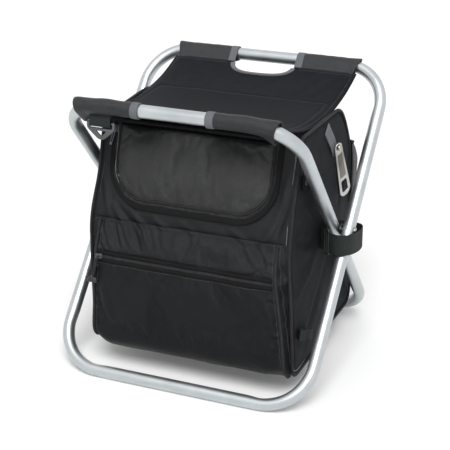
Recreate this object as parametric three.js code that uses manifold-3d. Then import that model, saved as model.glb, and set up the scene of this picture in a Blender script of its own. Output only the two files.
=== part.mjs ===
// Folding cooler stool: two crossed tube loops, a sling seat and an insulated bag between the legs.
// Millimetres. +X runs along the bars, -Y is the front, +Z is up and the floor is at Z = 0.
import * as THREE from "three";
import { mergeVertices } from "three/addons/utils/BufferGeometryUtils.js";
import Module from "manifold-3d";

const wasm = await Module();
wasm.setup();

const GAP = 0.3; // clearance between pieces that touch

// Tube loops
const TUBE_R = 9.5;
const TUBE_SIDES = 16;
const BEND_R = 68;
const BEND_STEPS = 8;
const LEG_TOP = 269; // pivot to the top bar, along the leg
const LEG_BOTTOM = 280; // pivot to the bottom bar
const SPREAD = THREE.MathUtils.degToRad(41.4); // each loop's lean from upright
const INNER_HALF = 175; // inner loop: centre of the object to its leg
const LEG_GAP = 4; // between the inner and outer legs at the pivot
const OUTER_HALF = INNER_HALF + 2 * TUBE_R + LEG_GAP;
const TUBE_FLAT = TUBE_R * Math.cos(Math.PI / TUBE_SIDES);
const PIVOT_Z = TUBE_FLAT + LEG_BOTTOM * Math.cos(SPREAD);
const BAR_Y = LEG_TOP * Math.sin(SPREAD);
const BAR_Z = PIVOT_Z + LEG_TOP * Math.cos(SPREAD);

// Pivot hardware
const RIVET_R = 3;
const RIVET_PLAY = 0.4;
const RIVET_HEAD_R = 6;
const RIVET_HEAD_T = 2.5;
const WASHER_R = 8;

// Seat
const BAG_CLEAR = 7.5; // between the inner legs and the bag's sides
const BAG_HALF = INNER_HALF - TUBE_R - BAG_CLEAR;
const SEAT_INSET = 5; // the seat's edge stays inside the bag's piping
const SEAT_HALF = BAG_HALF - SEAT_INSET;
const SEAT_LOW = 385; // height of the sling's lowest line
const SEAT_T = 3;
const SEAT_ROWS = 14;
const SLEEVE_T = 2;
const SLEEVE_PLAY = 0.8;
const SLEEVE_IN = TUBE_R + SLEEVE_PLAY;
const SLEEVE_OUT = SLEEVE_IN + SLEEVE_T;
const GRIP_HALF = 50; // half of the bare grip length
const RING_W = 12.6; // binding ring's width
const RING_T = 1.9;
const SEAM_REACH = 12; // sling's edge to the bar's centre
const NOTCH_HALF = GRIP_HALF + 2;
const NOTCH_DEPTH = 34;
const EDGE_TAPE_R = 2.5;
const EDGE_TAPE_IN = 3.2;

// Bag body
const PANEL_T = 6;
const BAG_BASE = 38;
const BAG_TOP = SEAT_LOW - SEAT_T / 2 - GAP;
const FRONT_Y = -138;
const KNEE_Z = 240; // where the front starts to lean back
const FRONT_LEAN = THREE.MathUtils.degToRad(16.3);
const BACK_Y = 150;
const HIP_Y = 118; // where the back turns in towards the seat
const HIP_Z = 330;
const BACK_TOP_Y = 70;
const PIPING_R = 2.2;

// Front flap and its zip, measured up the leaning panel from the knee
const FLAP_HALF = BAG_HALF - 36;
const FLAP_LOW = 31;
const FLAP_HIGH = 140;
const FLAP_CORNER = 50;
const FLAP_PLAY = 0.6;
const FLAP_RIM = 3; // how far the flap's rim stands proud
const FLAP_CROWN = 9;
const FLAP_ZIP_W = 8;
const ZIP_T = 1.5;
const SLIDER_W = 8;
const SLIDER_L = 11;
const SLIDER_T = 4;
const FLAP_SLIDER_AT = 131;
const PULL_W = 5;
const PULL_T = 1.6;
const FLAP_PULL_L = 28;

// Front pocket and its zip
const POCKET_HALF = BAG_HALF - 12;
const POCKET_LOW = 41;
const POCKET_HIGH = 238;
const POCKET_DEPTH = 16;
const POCKET_SHOULDER = 196; // the pocket's face is upright below this height
const SKIN_T = 2;
const POCKET_ZIP_Z = 184;
const POCKET_ZIP_W = 12;
const POCKET_ZIP_HALF = POCKET_HALF - 7;
const POCKET_SLIDER_X = 6 - POCKET_ZIP_HALF;
const POCKET_PULL_L = 33;
const CROSSBAR_W = 16;
const CROSSBAR_H = 9;

// Rear pocket, measured up the back panel
const REAR_HALF = BAG_HALF - 8;
const REAR_LOW = 178;
const REAR_HIGH = 272;
const REAR_DEPTH = 34;
const REAR_SLOPE = 24; // height of the sloping shoulder

// D-ring and its webbing loop
const D_X = 63 - INNER_HALF;
const D_HALF = 22;
const D_T = 4;
const D_HANG = 23.63; // the bar's centre to the ring's axis
const D_AXIS_Z = BAR_Z - D_HANG;
const D_BAR_H = 4;
const D_SLOT_HALF = 17.6;
const D_SLOT_H = 7;
const D_DROP = 25; // bar centre to the lowest point
const WEB_T = 2;
const WEB_HALF = 16.5;
const LOOP_ROOM = 3.2;
const D_SAG = 0.3; // the ring's bar hangs this far below the loop's middle
const LOOP_SINK = 3.4; // the sleeve dips this much over the loop's width

// Side straps
const STRAP_HALF_W = 16;
const STRAP_DROP = 12; // strap centre below the pivot
const STRAP_REACH = 40; // strap arm from the pivot, front and back
const STRAP_TAIL = 18; // sewn length of the rear end
const STRAP_ROOT = 14; // where the front arm leaves the bag, in front of the pivot
const STRAP_KNEE = 10; // the front arm is square to the bag from here to the outer leg's middle
const STRAP_CORNER = 6;
const STRAP_X = OUTER_HALF + TUBE_R + GAP + RIVET_HEAD_T + GAP + WEB_T;
const BUCKLE_L = 10;
const BUCKLE_WALL = 3;

// Bottle opener on the right side, in the side panel's plane
const OPENER_Y = 37;
const OPENER_Z = 332;
const OPENER_TILT = THREE.MathUtils.degToRad(27);
const OPENER_T = 2.5;
const OPENER_L = 99;
const OPENER_TOP_HALF = 8;
const OPENER_END_HALF = 12;
const OPENER_WINDOW_HALF = 6.5;
const OPENER_WINDOW_L = 24;
const OPENER_RIVET_R = 2;
const OPENER_HEAD_R = 5;
const TAPE_HALF = 10;
const TAPE_L = 60;
const TAPE_TILT = THREE.MathUtils.degToRad(42);

// Small tabs on the right side
const SEAM_TAB = { y: -90, z: 318, w: 20, h: 20, t: 3, tilt: 0 };
const LOWER_TAB = { y: -106, z: 92, w: 40, h: 17, t: 8, tilt: THREE.MathUtils.degToRad(-20) };

const finish = (color, roughness, metalness = 0) =>
  new THREE.MeshStandardMaterial({ color, roughness, metalness });
const TUBE = finish(0xc4cbcd, 0.35, 0.9);
const STEEL = finish(0x9a9a98, 0.35, 0.9);
const CLOTH = finish(0x2b2c2e, 0.85);
const SKIN = finish(0x232425, 0.8);
const TAPE = finish(0x76787b, 0.85);
const WEBBING = finish(0x1c1f1f, 0.9);
const ZIP = finish(0x141414, 0.6);
const PLASTIC = finish(0x4a4b4d, 0.5);

const root = new THREE.Group();
root.name = "folding_cooler_stool";

const vec = (x, y, z) => new THREE.Vector3(x, y, z);
const X_AXIS = vec(1, 0, 0);
const Z_AXIS = vec(0, 0, 1);

/** Adds one named solid to a group. */
function solid(group, name, geometry, material) {
  const mesh = new THREE.Mesh(geometry, material);
  mesh.name = name;
  group.add(mesh);
}

/** Adds a group whose local Y is "up" and local Z is "out", for pieces that lie on one face. */
function facing(name, origin, up, out) {
  const group = new THREE.Group();
  const across = up.clone().cross(out);
  group.name = name;
  group.quaternion.setFromRotationMatrix(new THREE.Matrix4().makeBasis(across, up, out));
  group.position.copy(origin);
  root.add(group);
  return group;
}

/** A curve through given stations, sampled at those stations only. */
class StationCurve extends THREE.Curve {
  constructor(stations) {
    super();
    this.stations = stations;
  }

  get steps() {
    return this.stations.length - 1;
  }

  getPoint(t, target = vec(0, 0, 0)) {
    const place = Math.min(t * this.steps, this.steps - 1e-9);
    const i = Math.floor(place);
    return target.lerpVectors(this.stations[i], this.stations[i + 1], place - i);
  }

  getPointAt(t, target) {
    return this.getPoint(t, target);
  }

  getTangentAt(t, target) {
    return this.getTangent(t, target);
  }
}

/** A round outline, turned so that one flat faces the given angle. */
function roundShape(radius, sides, angle = 0) {
  const points = [];
  for (let i = 0; i < sides; i += 1) {
    const a = angle + (2 * Math.PI * (i + 0.5)) / sides;
    points.push(new THREE.Vector2(radius * Math.cos(a), radius * Math.sin(a)));
  }
  return points;
}

/** Sweeps an outline, with an optional hole, along stations. */
function sweep(outline, stations, hole) {
  const shape = new THREE.Shape(outline);
  if (hole) shape.holes.push(new THREE.Path(hole));
  const path = new StationCurve(stations);
  return new THREE.ExtrudeGeometry(shape, { steps: path.steps, extrudePath: path });
}

/** A closed outline from coordinate pairs. */
function polygon(pairs) {
  return new THREE.Shape(pairs.map(([x, y]) => new THREE.Vector2(x, y)));
}

/** A flat piece between two depths, from an outline in its face's plane. */
function plate(shape, low, high, curveSegments = 6) {
  const options = { depth: high - low, bevelEnabled: false, curveSegments };
  return new THREE.ExtrudeGeometry(shape, options).translate(0, 0, low);
}

/** A bar of constant section along X, from a section in (Y, Z). */
function prism(pairs, half) {
  const turn = new THREE.Matrix4().makeBasis(vec(0, 1, 0), Z_AXIS, X_AXIS);
  return plate(polygon(pairs), -half, half).applyMatrix4(turn);
}

/** A rectangle centred on a point. */
function rectangle(x, y, w, h) {
  const [a, b] = [w / 2, h / 2];
  return polygon([[x - a, y - b], [x + a, y - b], [x + a, y + b], [x - a, y + b]]);
}

/** A strip's outline: an open line of points, moved sideways by two offsets and closed. */
function strip(pairs, left, right) {
  const points = pairs.map(([x, y]) => new THREE.Vector2(x, y));
  const offset = (distance) => points.map((p, i) => {
    const before = p.clone().sub(points[Math.max(i - 1, 0)]).normalize();
    const after = points[Math.min(i + 1, points.length - 1)].clone().sub(p).normalize();
    const along = before.add(after).normalize();
    const last = points.length - 1;
    const next = points[Math.min(i + 1, last)].clone().sub(points[Math.min(i, last - 1)]);
    const normal = new THREE.Vector2(-along.y, along.x);
    const stretch = 1 / Math.max(along.dot(next.normalize()), 0.5);
    return p.clone().addScaledVector(normal, distance * stretch);
  });
  return new THREE.Shape([...offset(right), ...offset(left).reverse()]);
}

function toManifold(geometry) {
  const bare = geometry.clone();
  bare.deleteAttribute("normal");
  bare.deleteAttribute("uv");
  const merged = mergeVertices(bare, 1e-4);
  return new wasm.Manifold(new wasm.Mesh({
    numProp: 3,
    vertProperties: new Float32Array(merged.attributes.position.array),
    triVerts: new Uint32Array(merged.index.array),
  }));
}

/** One geometry with others cut out of it. */
function cut(geometry, cutters) {
  const result = cutters.reduce((left, c) => left.subtract(toManifold(c)), toManifold(geometry));
  const mesh = result.getMesh();
  const out = new THREE.BufferGeometry();
  out.setAttribute("position", new THREE.BufferAttribute(new Float32Array(mesh.vertProperties), 3));
  out.setIndex(new THREE.BufferAttribute(new Uint32Array(mesh.triVerts), 1));
  out.computeVertexNormals();
  return out;
}

/** Stations round one bend of a loop, from one angle to another. */
function bend(cx, cy, from, to, steps) {
  const stations = [];
  for (let i = 0; i <= steps; i += 1) {
    const a = from + ((to - from) * i) / steps;
    stations.push(vec(cx + BEND_R * Math.cos(a), cy + BEND_R * Math.sin(a), 0));
  }
  return stations;
}

/** A tube loop in its own plane, butted in the middle of its bottom bar and drilled at the pivot. */
function loopTube(half, tilt) {
  const turn = Math.PI / 2;
  const [x, top, bottom] = [half - BEND_R, LEG_TOP - BEND_R, BEND_R - LEG_BOTTOM];
  const stations = [
    vec(GAP / 2, -LEG_BOTTOM, 0),
    ...bend(x, bottom, -turn, 0, BEND_STEPS),
    ...bend(x, top, 0, turn, BEND_STEPS),
    ...bend(-x, top, turn, 2 * turn, BEND_STEPS),
    ...bend(-x, bottom, 2 * turn, 3 * turn, BEND_STEPS),
    vec(-GAP / 2, -LEG_BOTTOM, 0),
  ];
  const tube = sweep(roundShape(TUBE_R, TUBE_SIDES, -tilt), stations);
  const drill = new THREE.CylinderGeometry(RIVET_R + RIVET_PLAY, RIVET_R + RIVET_PLAY, 3 * TUBE_R, 12);
  drill.rotateZ(turn);
  return cut(tube, [-half, half].map((place) => drill.clone().translate(place, 0, 0)));
}

/** How far round the bend a sleeve on this loop ends. */
const sleeveEnd = (half) => Math.asin((SEAT_HALF - half + BEND_R) / BEND_R);

/** A cloth sleeve on a top bar, from the binding ring to the start of the bend. */
function sleeve(half, side) {
  const [x, start] = [half - BEND_R, Math.PI / 2];
  const stations = [
    vec(GRIP_HALF + RING_W + GAP, LEG_TOP, 0),
    ...bend(x, LEG_TOP - BEND_R, start, start - sleeveEnd(half), 4),
  ].map((p) => vec(side * p.x, p.y, 0));
  return sweep(roundShape(SLEEVE_OUT, TUBE_SIDES), stations, roundShape(SLEEVE_IN, TUBE_SIDES));
}

function bindingRing(side) {
  const ends = [GRIP_HALF, GRIP_HALF + RING_W].map((x) => vec(side * x, LEG_TOP, 0));
  const outer = roundShape(SLEEVE_IN + RING_T, TUBE_SIDES);
  return sweep(outer, ends, roundShape(SLEEVE_IN, TUBE_SIDES));
}

const SIDES = [["left", -1], ["right", 1]];

function addLoop(name, half, tilt) {
  const group = new THREE.Group();
  group.name = `${name}_loop`;
  group.position.set(0, 0, PIVOT_Z);
  group.rotation.x = tilt;
  root.add(group);
  solid(group, `${name}_frame_tube`, loopTube(half, tilt), TUBE);
  for (const [word, side] of SIDES) {
    solid(group, `${name}_sleeve_${word}`, sleeve(half, side), CLOTH);
    solid(group, `${name}_binding_${word}`, bindingRing(side), TAPE);
  }
}

function addPivots() {
  const group = new THREE.Group();
  group.name = "pivots";
  group.position.z = PIVOT_Z;
  root.add(group);
  const inside = INNER_HALF - TUBE_R - GAP;
  const outside = OUTER_HALF + TUBE_R + GAP;
  const rivet = new THREE.LatheGeometry([
    [0, inside - RIVET_HEAD_T], [RIVET_HEAD_R, inside - RIVET_HEAD_T], [RIVET_HEAD_R, inside],
    [RIVET_R, inside], [RIVET_R, outside], [RIVET_HEAD_R, outside],
    [RIVET_HEAD_R, outside + RIVET_HEAD_T], [0, outside + RIVET_HEAD_T],
  ].map(([r, x]) => new THREE.Vector2(r, x)), 16);
  const washer = new THREE.Shape(roundShape(WASHER_R, 16));
  washer.holes.push(new THREE.Path(roundShape(RIVET_R + RIVET_PLAY, 16)));
  const middle = (INNER_HALF + OUTER_HALF) / 2;
  const halfT = LEG_GAP / 2 - GAP;
  for (const [word, side] of SIDES) {
    const turned = rivet.clone().rotateZ((-side * Math.PI) / 2);
    solid(group, `pivot_rivet_${word}`, turned, STEEL);
    const ring = plate(washer, -halfT, halfT).rotateY(Math.PI / 2).translate(side * middle, 0, 0);
    solid(group, `pivot_washer_${word}`, ring, PLASTIC);
  }
}

/** Height of the sling at a distance from the middle. */
const sling = (y) => SEAT_LOW + (BAR_Z - SEAT_LOW) * (y / BAR_Y) ** 2;

/** The sling's edge by a bar, which follows the sleeve round the bend and curves in at the hand hole. */
function slingEdge(x, half, notchHalf, notchDepth) {
  const turned = Math.asin(Math.max(Math.abs(x) - half + BEND_R, 0) / BEND_R);
  const drop = BEND_R * (1 - Math.cos(turned));
  const reach = SEAM_REACH / Math.cos(turned) ** 0.75;
  const notch = 1 - Math.min(Math.abs(x) / notchHalf, 1) ** 4;
  return BAR_Y - drop * Math.sin(SPREAD) - reach - notchDepth * Math.sqrt(notch);
}

/** A sheet of constant thickness from columns and rows of mid-surface points. */
function sheet(columns, rows, point, thickness) {
  const positions = [];
  const faces = [];
  for (const lift of [-thickness / 2, thickness / 2]) {
    for (const c of columns) {
      for (let r = 0; r <= rows; r += 1) {
        const [x, y, z] = point(c, r / rows);
        positions.push(x, y, z + lift);
      }
    }
  }
  const n = columns.length;
  const at = (layer, c, r) => layer * n * (rows + 1) + c * (rows + 1) + r;
  const quad = (a, b, c, d) => faces.push(a, b, c, a, c, d);
  for (let c = 0; c < n - 1; c += 1) {
    for (let r = 0; r < rows; r += 1) {
      quad(at(1, c, r), at(1, c + 1, r), at(1, c + 1, r + 1), at(1, c, r + 1));
      quad(at(0, c, r), at(0, c, r + 1), at(0, c + 1, r + 1), at(0, c + 1, r));
    }
    quad(at(0, c, 0), at(0, c + 1, 0), at(1, c + 1, 0), at(1, c, 0));
    quad(at(0, c + 1, rows), at(0, c, rows), at(1, c, rows), at(1, c + 1, rows));
  }
  for (let r = 0; r < rows; r += 1) {
    quad(at(0, 0, r + 1), at(0, 0, r), at(1, 0, r), at(1, 0, r + 1));
    quad(at(0, n - 1, r), at(0, n - 1, r + 1), at(1, n - 1, r + 1), at(1, n - 1, r));
  }
  const geometry = new THREE.BufferGeometry();
  geometry.setAttribute("position", new THREE.Float32BufferAttribute(positions, 3));
  geometry.setIndex(faces);
  geometry.computeVertexNormals();
  return geometry;
}

function addSeat() {
  const group = new THREE.Group();
  group.name = "seat";
  root.add(group);
  const halfColumns = [0.25, 0.5, 0.72, 0.88, 0.96, 0.99, 1].map((f) => f * NOTCH_HALF);
  const bends = [INNER_HALF - BEND_R, OUTER_HALF - BEND_R];
  const right = [...halfColumns, 1.5 * NOTCH_HALF, ...bends, SEAT_HALF - SLEEVE_OUT, SEAT_HALF];
  const columns = [...right.map((x) => -x).reverse(), 0, ...right];
  const point = (x, t) => {
    const front = -slingEdge(x, INNER_HALF, NOTCH_HALF, NOTCH_DEPTH);
    const rear = slingEdge(x, OUTER_HALF, NOTCH_HALF, NOTCH_DEPTH);
    const y = THREE.MathUtils.lerp(front, rear, t);
    return [x, y, sling(y)];
  };
  solid(group, "seat_panel", sheet(columns, SEAT_ROWS, point, SEAT_T), CLOTH);
  const [holeHalf, holeDepth] = [NOTCH_HALF - EDGE_TAPE_IN, NOTCH_DEPTH - EDGE_TAPE_IN];
  for (const [word, side, half] of [["front", -1, INNER_HALF], ["rear", 1, OUTER_HALF]]) {
    const stations = [];
    for (let i = -8; i <= 8; i += 1) {
      const x = 0.985 * holeHalf * Math.sin((i * Math.PI) / 16);
      const y = slingEdge(x, half, holeHalf, holeDepth);
      stations.push(vec(x, side * y, sling(y)));
    }
    solid(group, `${word}_hole_binding`, sweep(roundShape(EDGE_TAPE_R, 8), stations), TAPE);
  }
}

// The bag's outline from the side, in (Y, Z)
const frontAt = (z) => FRONT_Y + Math.max(z - KNEE_Z, 0) * Math.tan(FRONT_LEAN);
const backAt = (z) => (z < HIP_Z
  ? THREE.MathUtils.mapLinear(z, BAG_BASE, HIP_Z, BACK_Y, HIP_Y)
  : THREE.MathUtils.mapLinear(z, HIP_Z, BAG_TOP, HIP_Y, BACK_TOP_Y));
const SIDE_OUTLINE = [
  [FRONT_Y, BAG_BASE], [BACK_Y, BAG_BASE], [HIP_Y, HIP_Z], [BACK_TOP_Y, BAG_TOP],
  [frontAt(BAG_TOP), BAG_TOP], [FRONT_Y, KNEE_Z],
];
const PANEL_HALF = BAG_HALF - PANEL_T - GAP;

/** Stations of a closed cord round an outline, set out from it, with its corners eased. */
function pipingStations(x) {
  const reach = PIPING_R + GAP + 0.1;
  const points = SIDE_OUTLINE.map(([y, z]) => new THREE.Vector2(y, z));
  const n = points.length;
  const stations = [];
  points.forEach((p, i) => {
    const before = p.clone().sub(points[(i + n - 1) % n]).normalize();
    const after = points[(i + 1) % n].clone().sub(p).normalize();
    for (const along of [before, before.clone().add(after).normalize(), after]) {
      const place = p.clone().addScaledVector(new THREE.Vector2(along.y, -along.x), reach);
      stations.push(vec(x, place.x, place.y));
    }
  });
  const [first, second] = [stations[0], stations[stations.length - 1]];
  const seam = first.clone().lerp(second, 0.5);
  const apart = second.clone().sub(first).setLength(GAP / 2);
  return [seam.clone().sub(apart), ...stations, seam.clone().add(apart)];
}

/** A U-shaped outline with rounded lower corners. */
function flapShape(grow) {
  const [half, low, high] = [FLAP_HALF + grow, FLAP_LOW - grow, FLAP_HIGH + grow];
  const r = FLAP_CORNER + grow;
  const shape = new THREE.Shape();
  shape.moveTo(half, high);
  shape.lineTo(-half, high);
  shape.lineTo(-half, low + r);
  shape.absarc(-half + r, low + r, r, Math.PI, 1.5 * Math.PI, false);
  shape.lineTo(half - r, low);
  shape.absarc(half - r, low + r, r, 1.5 * Math.PI, 2 * Math.PI, false);
  shape.closePath();
  return shape;
}

/** A padded plate: a flat back, a low rim and a face that rises to a crown. */
function padded(shape, back, rim, crown) {
  const outline = shape.getPoints(8).slice(0, -1);
  const box = new THREE.Box2().setFromPoints(outline);
  const middle = box.getCenter(new THREE.Vector2());
  const rings = [[1, back], [1, rim]];
  for (const scale of [0.93, 0.8, 0.6, 0.35]) {
    rings.push([scale, rim + (crown - rim) * Math.sqrt(1 - scale ** 4)]);
  }
  const positions = [middle.x, middle.y, back, middle.x, middle.y, crown];
  for (const [scale, depth] of rings) {
    for (const p of outline) {
      const place = middle.clone().lerp(p, scale);
      positions.push(place.x, place.y, depth);
    }
  }
  const n = outline.length;
  const at = (ring, i) => 2 + ring * n + (i % n);
  const faces = [];
  for (let i = 0; i < n; i += 1) {
    faces.push(0, at(0, i + 1), at(0, i));
    faces.push(1, at(rings.length - 1, i), at(rings.length - 1, i + 1));
    for (let k = 0; k < rings.length - 1; k += 1) {
      faces.push(at(k, i), at(k, i + 1), at(k + 1, i + 1), at(k, i), at(k + 1, i + 1), at(k + 1, i));
    }
  }
  const geometry = new THREE.BufferGeometry();
  geometry.setAttribute("position", new THREE.Float32BufferAttribute(positions, 3));
  geometry.setIndex(faces);
  geometry.computeVertexNormals();
  return geometry;
}

/** A zip slider's body, tapered towards its tail. */
function sliderBody(x, y, low) {
  const [a, b] = [SLIDER_W / 2, SLIDER_L / 2];
  const shape = polygon([[x - a, y + b], [x - a, y - b / 2], [x - a / 2, y - b], [x + a / 2, y - b],
    [x + a, y - b / 2], [x + a, y + b]].reverse());
  return plate(shape, low, low + SLIDER_T);
}

/** A zip pull hanging from its eye, with an optional cross-bar at its end. */
function pullTab(x, top, length, crossbar, low) {
  const a = PULL_W / 2;
  const end = top - length;
  const foot = crossbar
    ? [[x - a, end + CROSSBAR_H], [x - CROSSBAR_W / 2, end + CROSSBAR_H], [x - CROSSBAR_W / 2, end],
      [x + CROSSBAR_W / 2, end], [x + CROSSBAR_W / 2, end + CROSSBAR_H], [x + a, end + CROSSBAR_H]]
    : [[x - a, end + a], [x - a / 2, end], [x + a / 2, end], [x + a, end + a]];
  const shape = polygon([[x - a, top], ...foot, [x + a, top]]);
  shape.holes.push(new THREE.Path(roundShape(1.2, 8).map((p) => p.add(new THREE.Vector2(x, top - 3)))));
  return plate(shape, low, low + PULL_T);
}

function addBagBody() {
  const group = new THREE.Group();
  group.name = "bag";
  root.add(group);
  const low = BAG_BASE + PANEL_T;
  const frontTop = KNEE_Z - PANEL_T * Math.sin(FRONT_LEAN) - GAP;
  const lower = [[FRONT_Y, low + GAP], [FRONT_Y + PANEL_T, low + GAP],
    [FRONT_Y + PANEL_T, frontTop], [FRONT_Y, frontTop]];
  solid(group, "bag_front_lower", prism(lower, PANEL_HALF), SKIN);
  const base = [[FRONT_Y, BAG_BASE], [backAt(low), BAG_BASE], [backAt(low), low], [FRONT_Y, low]];
  solid(group, "bag_base", prism(base, PANEL_HALF), SKIN);
  const [foot, head] = [low + 4 * GAP, BAG_TOP - PANEL_T - GAP];
  const eave = head - 2 * SKIN_T;
  const backLine = [[backAt(foot), foot], [HIP_Y, HIP_Z], [backAt(eave), eave]];
  const backSection = strip(backLine, PANEL_T, 0).getPoints().map((p) => [p.x, p.y]);
  solid(group, "bag_back", prism(backSection, PANEL_HALF), SKIN);
  const inner = frontAt(BAG_TOP) + PANEL_T / Math.cos(FRONT_LEAN) + GAP;
  const top = [[inner, head + GAP], [BACK_TOP_Y, head + GAP], [BACK_TOP_Y, BAG_TOP], [inner, BAG_TOP]];
  solid(group, "bag_top", prism(top, PANEL_HALF), SKIN);
  for (const [word, side] of SIDES) {
    const section = roundShape(PIPING_R, 8);
    solid(group, `piping_${word}`, sweep(section, pipingStations(side * (BAG_HALF - 2))), WEBBING);
  }
}

function addFrontPanel() {
  const up = vec(0, Math.sin(FRONT_LEAN), Math.cos(FRONT_LEAN));
  const out = X_AXIS.clone().cross(up);
  const group = facing("front_upper", vec(0, FRONT_Y, KNEE_Z), up, out);
  const height = (BAG_TOP - KNEE_Z) / Math.cos(FRONT_LEAN);
  const panel = rectangle(0, height / 2, 2 * PANEL_HALF, height);
  panel.holes.push(new THREE.Path(flapShape(FLAP_PLAY).getPoints(8)));
  solid(group, "bag_front_upper", plate(panel, -PANEL_T, 0), SKIN);
  const backFace = -PANEL_T + FLAP_PLAY;
  solid(group, "front_flap", padded(flapShape(0), backFace, FLAP_RIM, FLAP_CROWN), CLOTH);

  const inner = flapShape(2 * FLAP_PLAY);
  const outer = flapShape(2 * FLAP_PLAY + FLAP_ZIP_W);
  const open = rectangle(0, FLAP_HIGH + FLAP_CORNER, 4 * FLAP_HALF, 2 * FLAP_CORNER);
  const tape = cut(plate(outer, GAP, GAP + ZIP_T, 8), [
    plate(inner, -1, 2 * ZIP_T, 8),
    plate(open, -1, 2 * ZIP_T),
  ]);
  solid(group, "flap_zip_tape", tape, ZIP);
  const zipX = -(FLAP_HALF + 2 * FLAP_PLAY + FLAP_ZIP_W / 2);
  const sliderLow = 2 * GAP + ZIP_T;
  solid(group, "flap_zip_slider", sliderBody(zipX, FLAP_SLIDER_AT, sliderLow), STEEL);
  const pull = pullTab(zipX, FLAP_SLIDER_AT + 3, FLAP_PULL_L, false, sliderLow + SLIDER_T + GAP);
  solid(group, "flap_zip_pull", pull, STEEL);
}

/** A pouch open at its back: a boxed front with a sloping shoulder. */
function pouch(half, low, high, shoulder, depth) {
  const section = (inset, back) => polygon([
    [back, low + inset], [depth - 5 - inset / 2, low + inset], [depth - inset, low + 9],
    [depth - inset, shoulder], [3 - inset / 2, high - inset], [back, high - inset],
  ]);
  const turn = new THREE.Matrix4().makeBasis(Z_AXIS, vec(0, 1, 0), vec(-1, 0, 0));
  const body = plate(section(0, GAP), -half, half).applyMatrix4(turn);
  const room = plate(section(SKIN_T, -2), SKIN_T - half, half - SKIN_T).applyMatrix4(turn);
  return cut(body, [room]);
}

function addFrontPocket() {
  const group = facing("front_pocket_face", vec(0, FRONT_Y, 0), Z_AXIS, vec(0, -1, 0));
  const body = pouch(POCKET_HALF, POCKET_LOW, POCKET_HIGH, POCKET_SHOULDER, POCKET_DEPTH);
  solid(group, "front_pocket", body, CLOTH);
  const face = POCKET_DEPTH + GAP;
  const tape = rectangle(0, POCKET_ZIP_Z, 2 * POCKET_ZIP_HALF, POCKET_ZIP_W);
  solid(group, "pocket_zip_tape", plate(tape, face, face + ZIP_T), ZIP);
  const sliderLow = face + ZIP_T + GAP;
  const turned = sliderBody(0, 0, sliderLow).rotateZ(-Math.PI / 2);
  solid(group, "pocket_zip_slider", turned.translate(POCKET_SLIDER_X, POCKET_ZIP_Z, 0), STEEL);
  const pull = pullTab(POCKET_SLIDER_X, POCKET_ZIP_Z + 3, POCKET_PULL_L, true, sliderLow + SLIDER_T + GAP);
  solid(group, "pocket_zip_pull", pull, PLASTIC);
}

function addRearPocket() {
  const up = vec(0, HIP_Y - BACK_Y, HIP_Z - BAG_BASE).normalize();
  const group = facing("back_face", vec(0, BACK_Y, BAG_BASE), up, up.clone().cross(X_AXIS));
  const body = pouch(REAR_HALF, REAR_LOW, REAR_HIGH, REAR_HIGH - REAR_SLOPE, REAR_DEPTH);
  solid(group, "rear_pocket", body, CLOTH);
}

/** The right side's pieces, in the plane of the side panel: local X is towards the back. */
function addSides() {
  for (const [word, side] of SIDES) {
    const group = facing(`${word}_face`, vec(side * BAG_HALF, 0, 0), Z_AXIS, vec(side, 0, 0));
    const outline = SIDE_OUTLINE.map(([y, z]) => [side * y, z]);
    solid(group, `bag_side_${word}`, plate(polygon(outline), -PANEL_T, 0), SKIN);
    if (side > 0) addRightFittings(group);
  }
}

function addRightFittings(group) {
  const webTop = GAP + WEB_T;
  const tape = plate(rectangle(0, TAPE_L / 2 - 10, 2 * TAPE_HALF, TAPE_L), GAP, webTop);
  tape.rotateZ(TAPE_TILT).translate(OPENER_Y, OPENER_Z, 0);
  solid(group, "opener_webbing", tape, TAPE);

  const [a, b] = [OPENER_TOP_HALF, OPENER_END_HALF];
  const shape = new THREE.Shape();
  shape.absarc(0, 0, a, 0, Math.PI, false);
  shape.absarc(0, b - OPENER_L, b, Math.PI, 2 * Math.PI, false);
  shape.closePath();
  const windowY = b - OPENER_L + OPENER_WINDOW_L / 3;
  const window = rectangle(0, windowY, 2 * OPENER_WINDOW_HALF, OPENER_WINDOW_L);
  shape.holes.push(new THREE.Path(window.getPoints()));
  shape.holes.push(new THREE.Path(roundShape(OPENER_RIVET_R + GAP, 12)));
  const low = webTop + GAP;
  const blade = plate(shape, low, low + OPENER_T, 8);
  solid(group, "bottle_opener", blade.rotateZ(OPENER_TILT).translate(OPENER_Y, OPENER_Z, 0), STEEL);
  const face = low + OPENER_T + GAP;
  const rivet = new THREE.LatheGeometry([
    [0, low], [OPENER_RIVET_R, low], [OPENER_RIVET_R, face], [OPENER_HEAD_R, face],
    [OPENER_HEAD_R * 0.8, face + 1.2], [0, face + 1.2],
  ].map(([r, z]) => new THREE.Vector2(r, z)), 16);
  solid(group, "opener_rivet", rivet.rotateX(Math.PI / 2).translate(OPENER_Y, OPENER_Z, 0), STEEL);

  for (const [name, tab] of [["seam_tab", SEAM_TAB], ["lower_tab", LOWER_TAB]]) {
    const web = plate(rectangle(0, 0, tab.w, tab.h), GAP, GAP + tab.t).rotateZ(tab.tilt);
    solid(group, name, web.translate(tab.y, tab.z, 0), WEBBING);
  }
}

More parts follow.
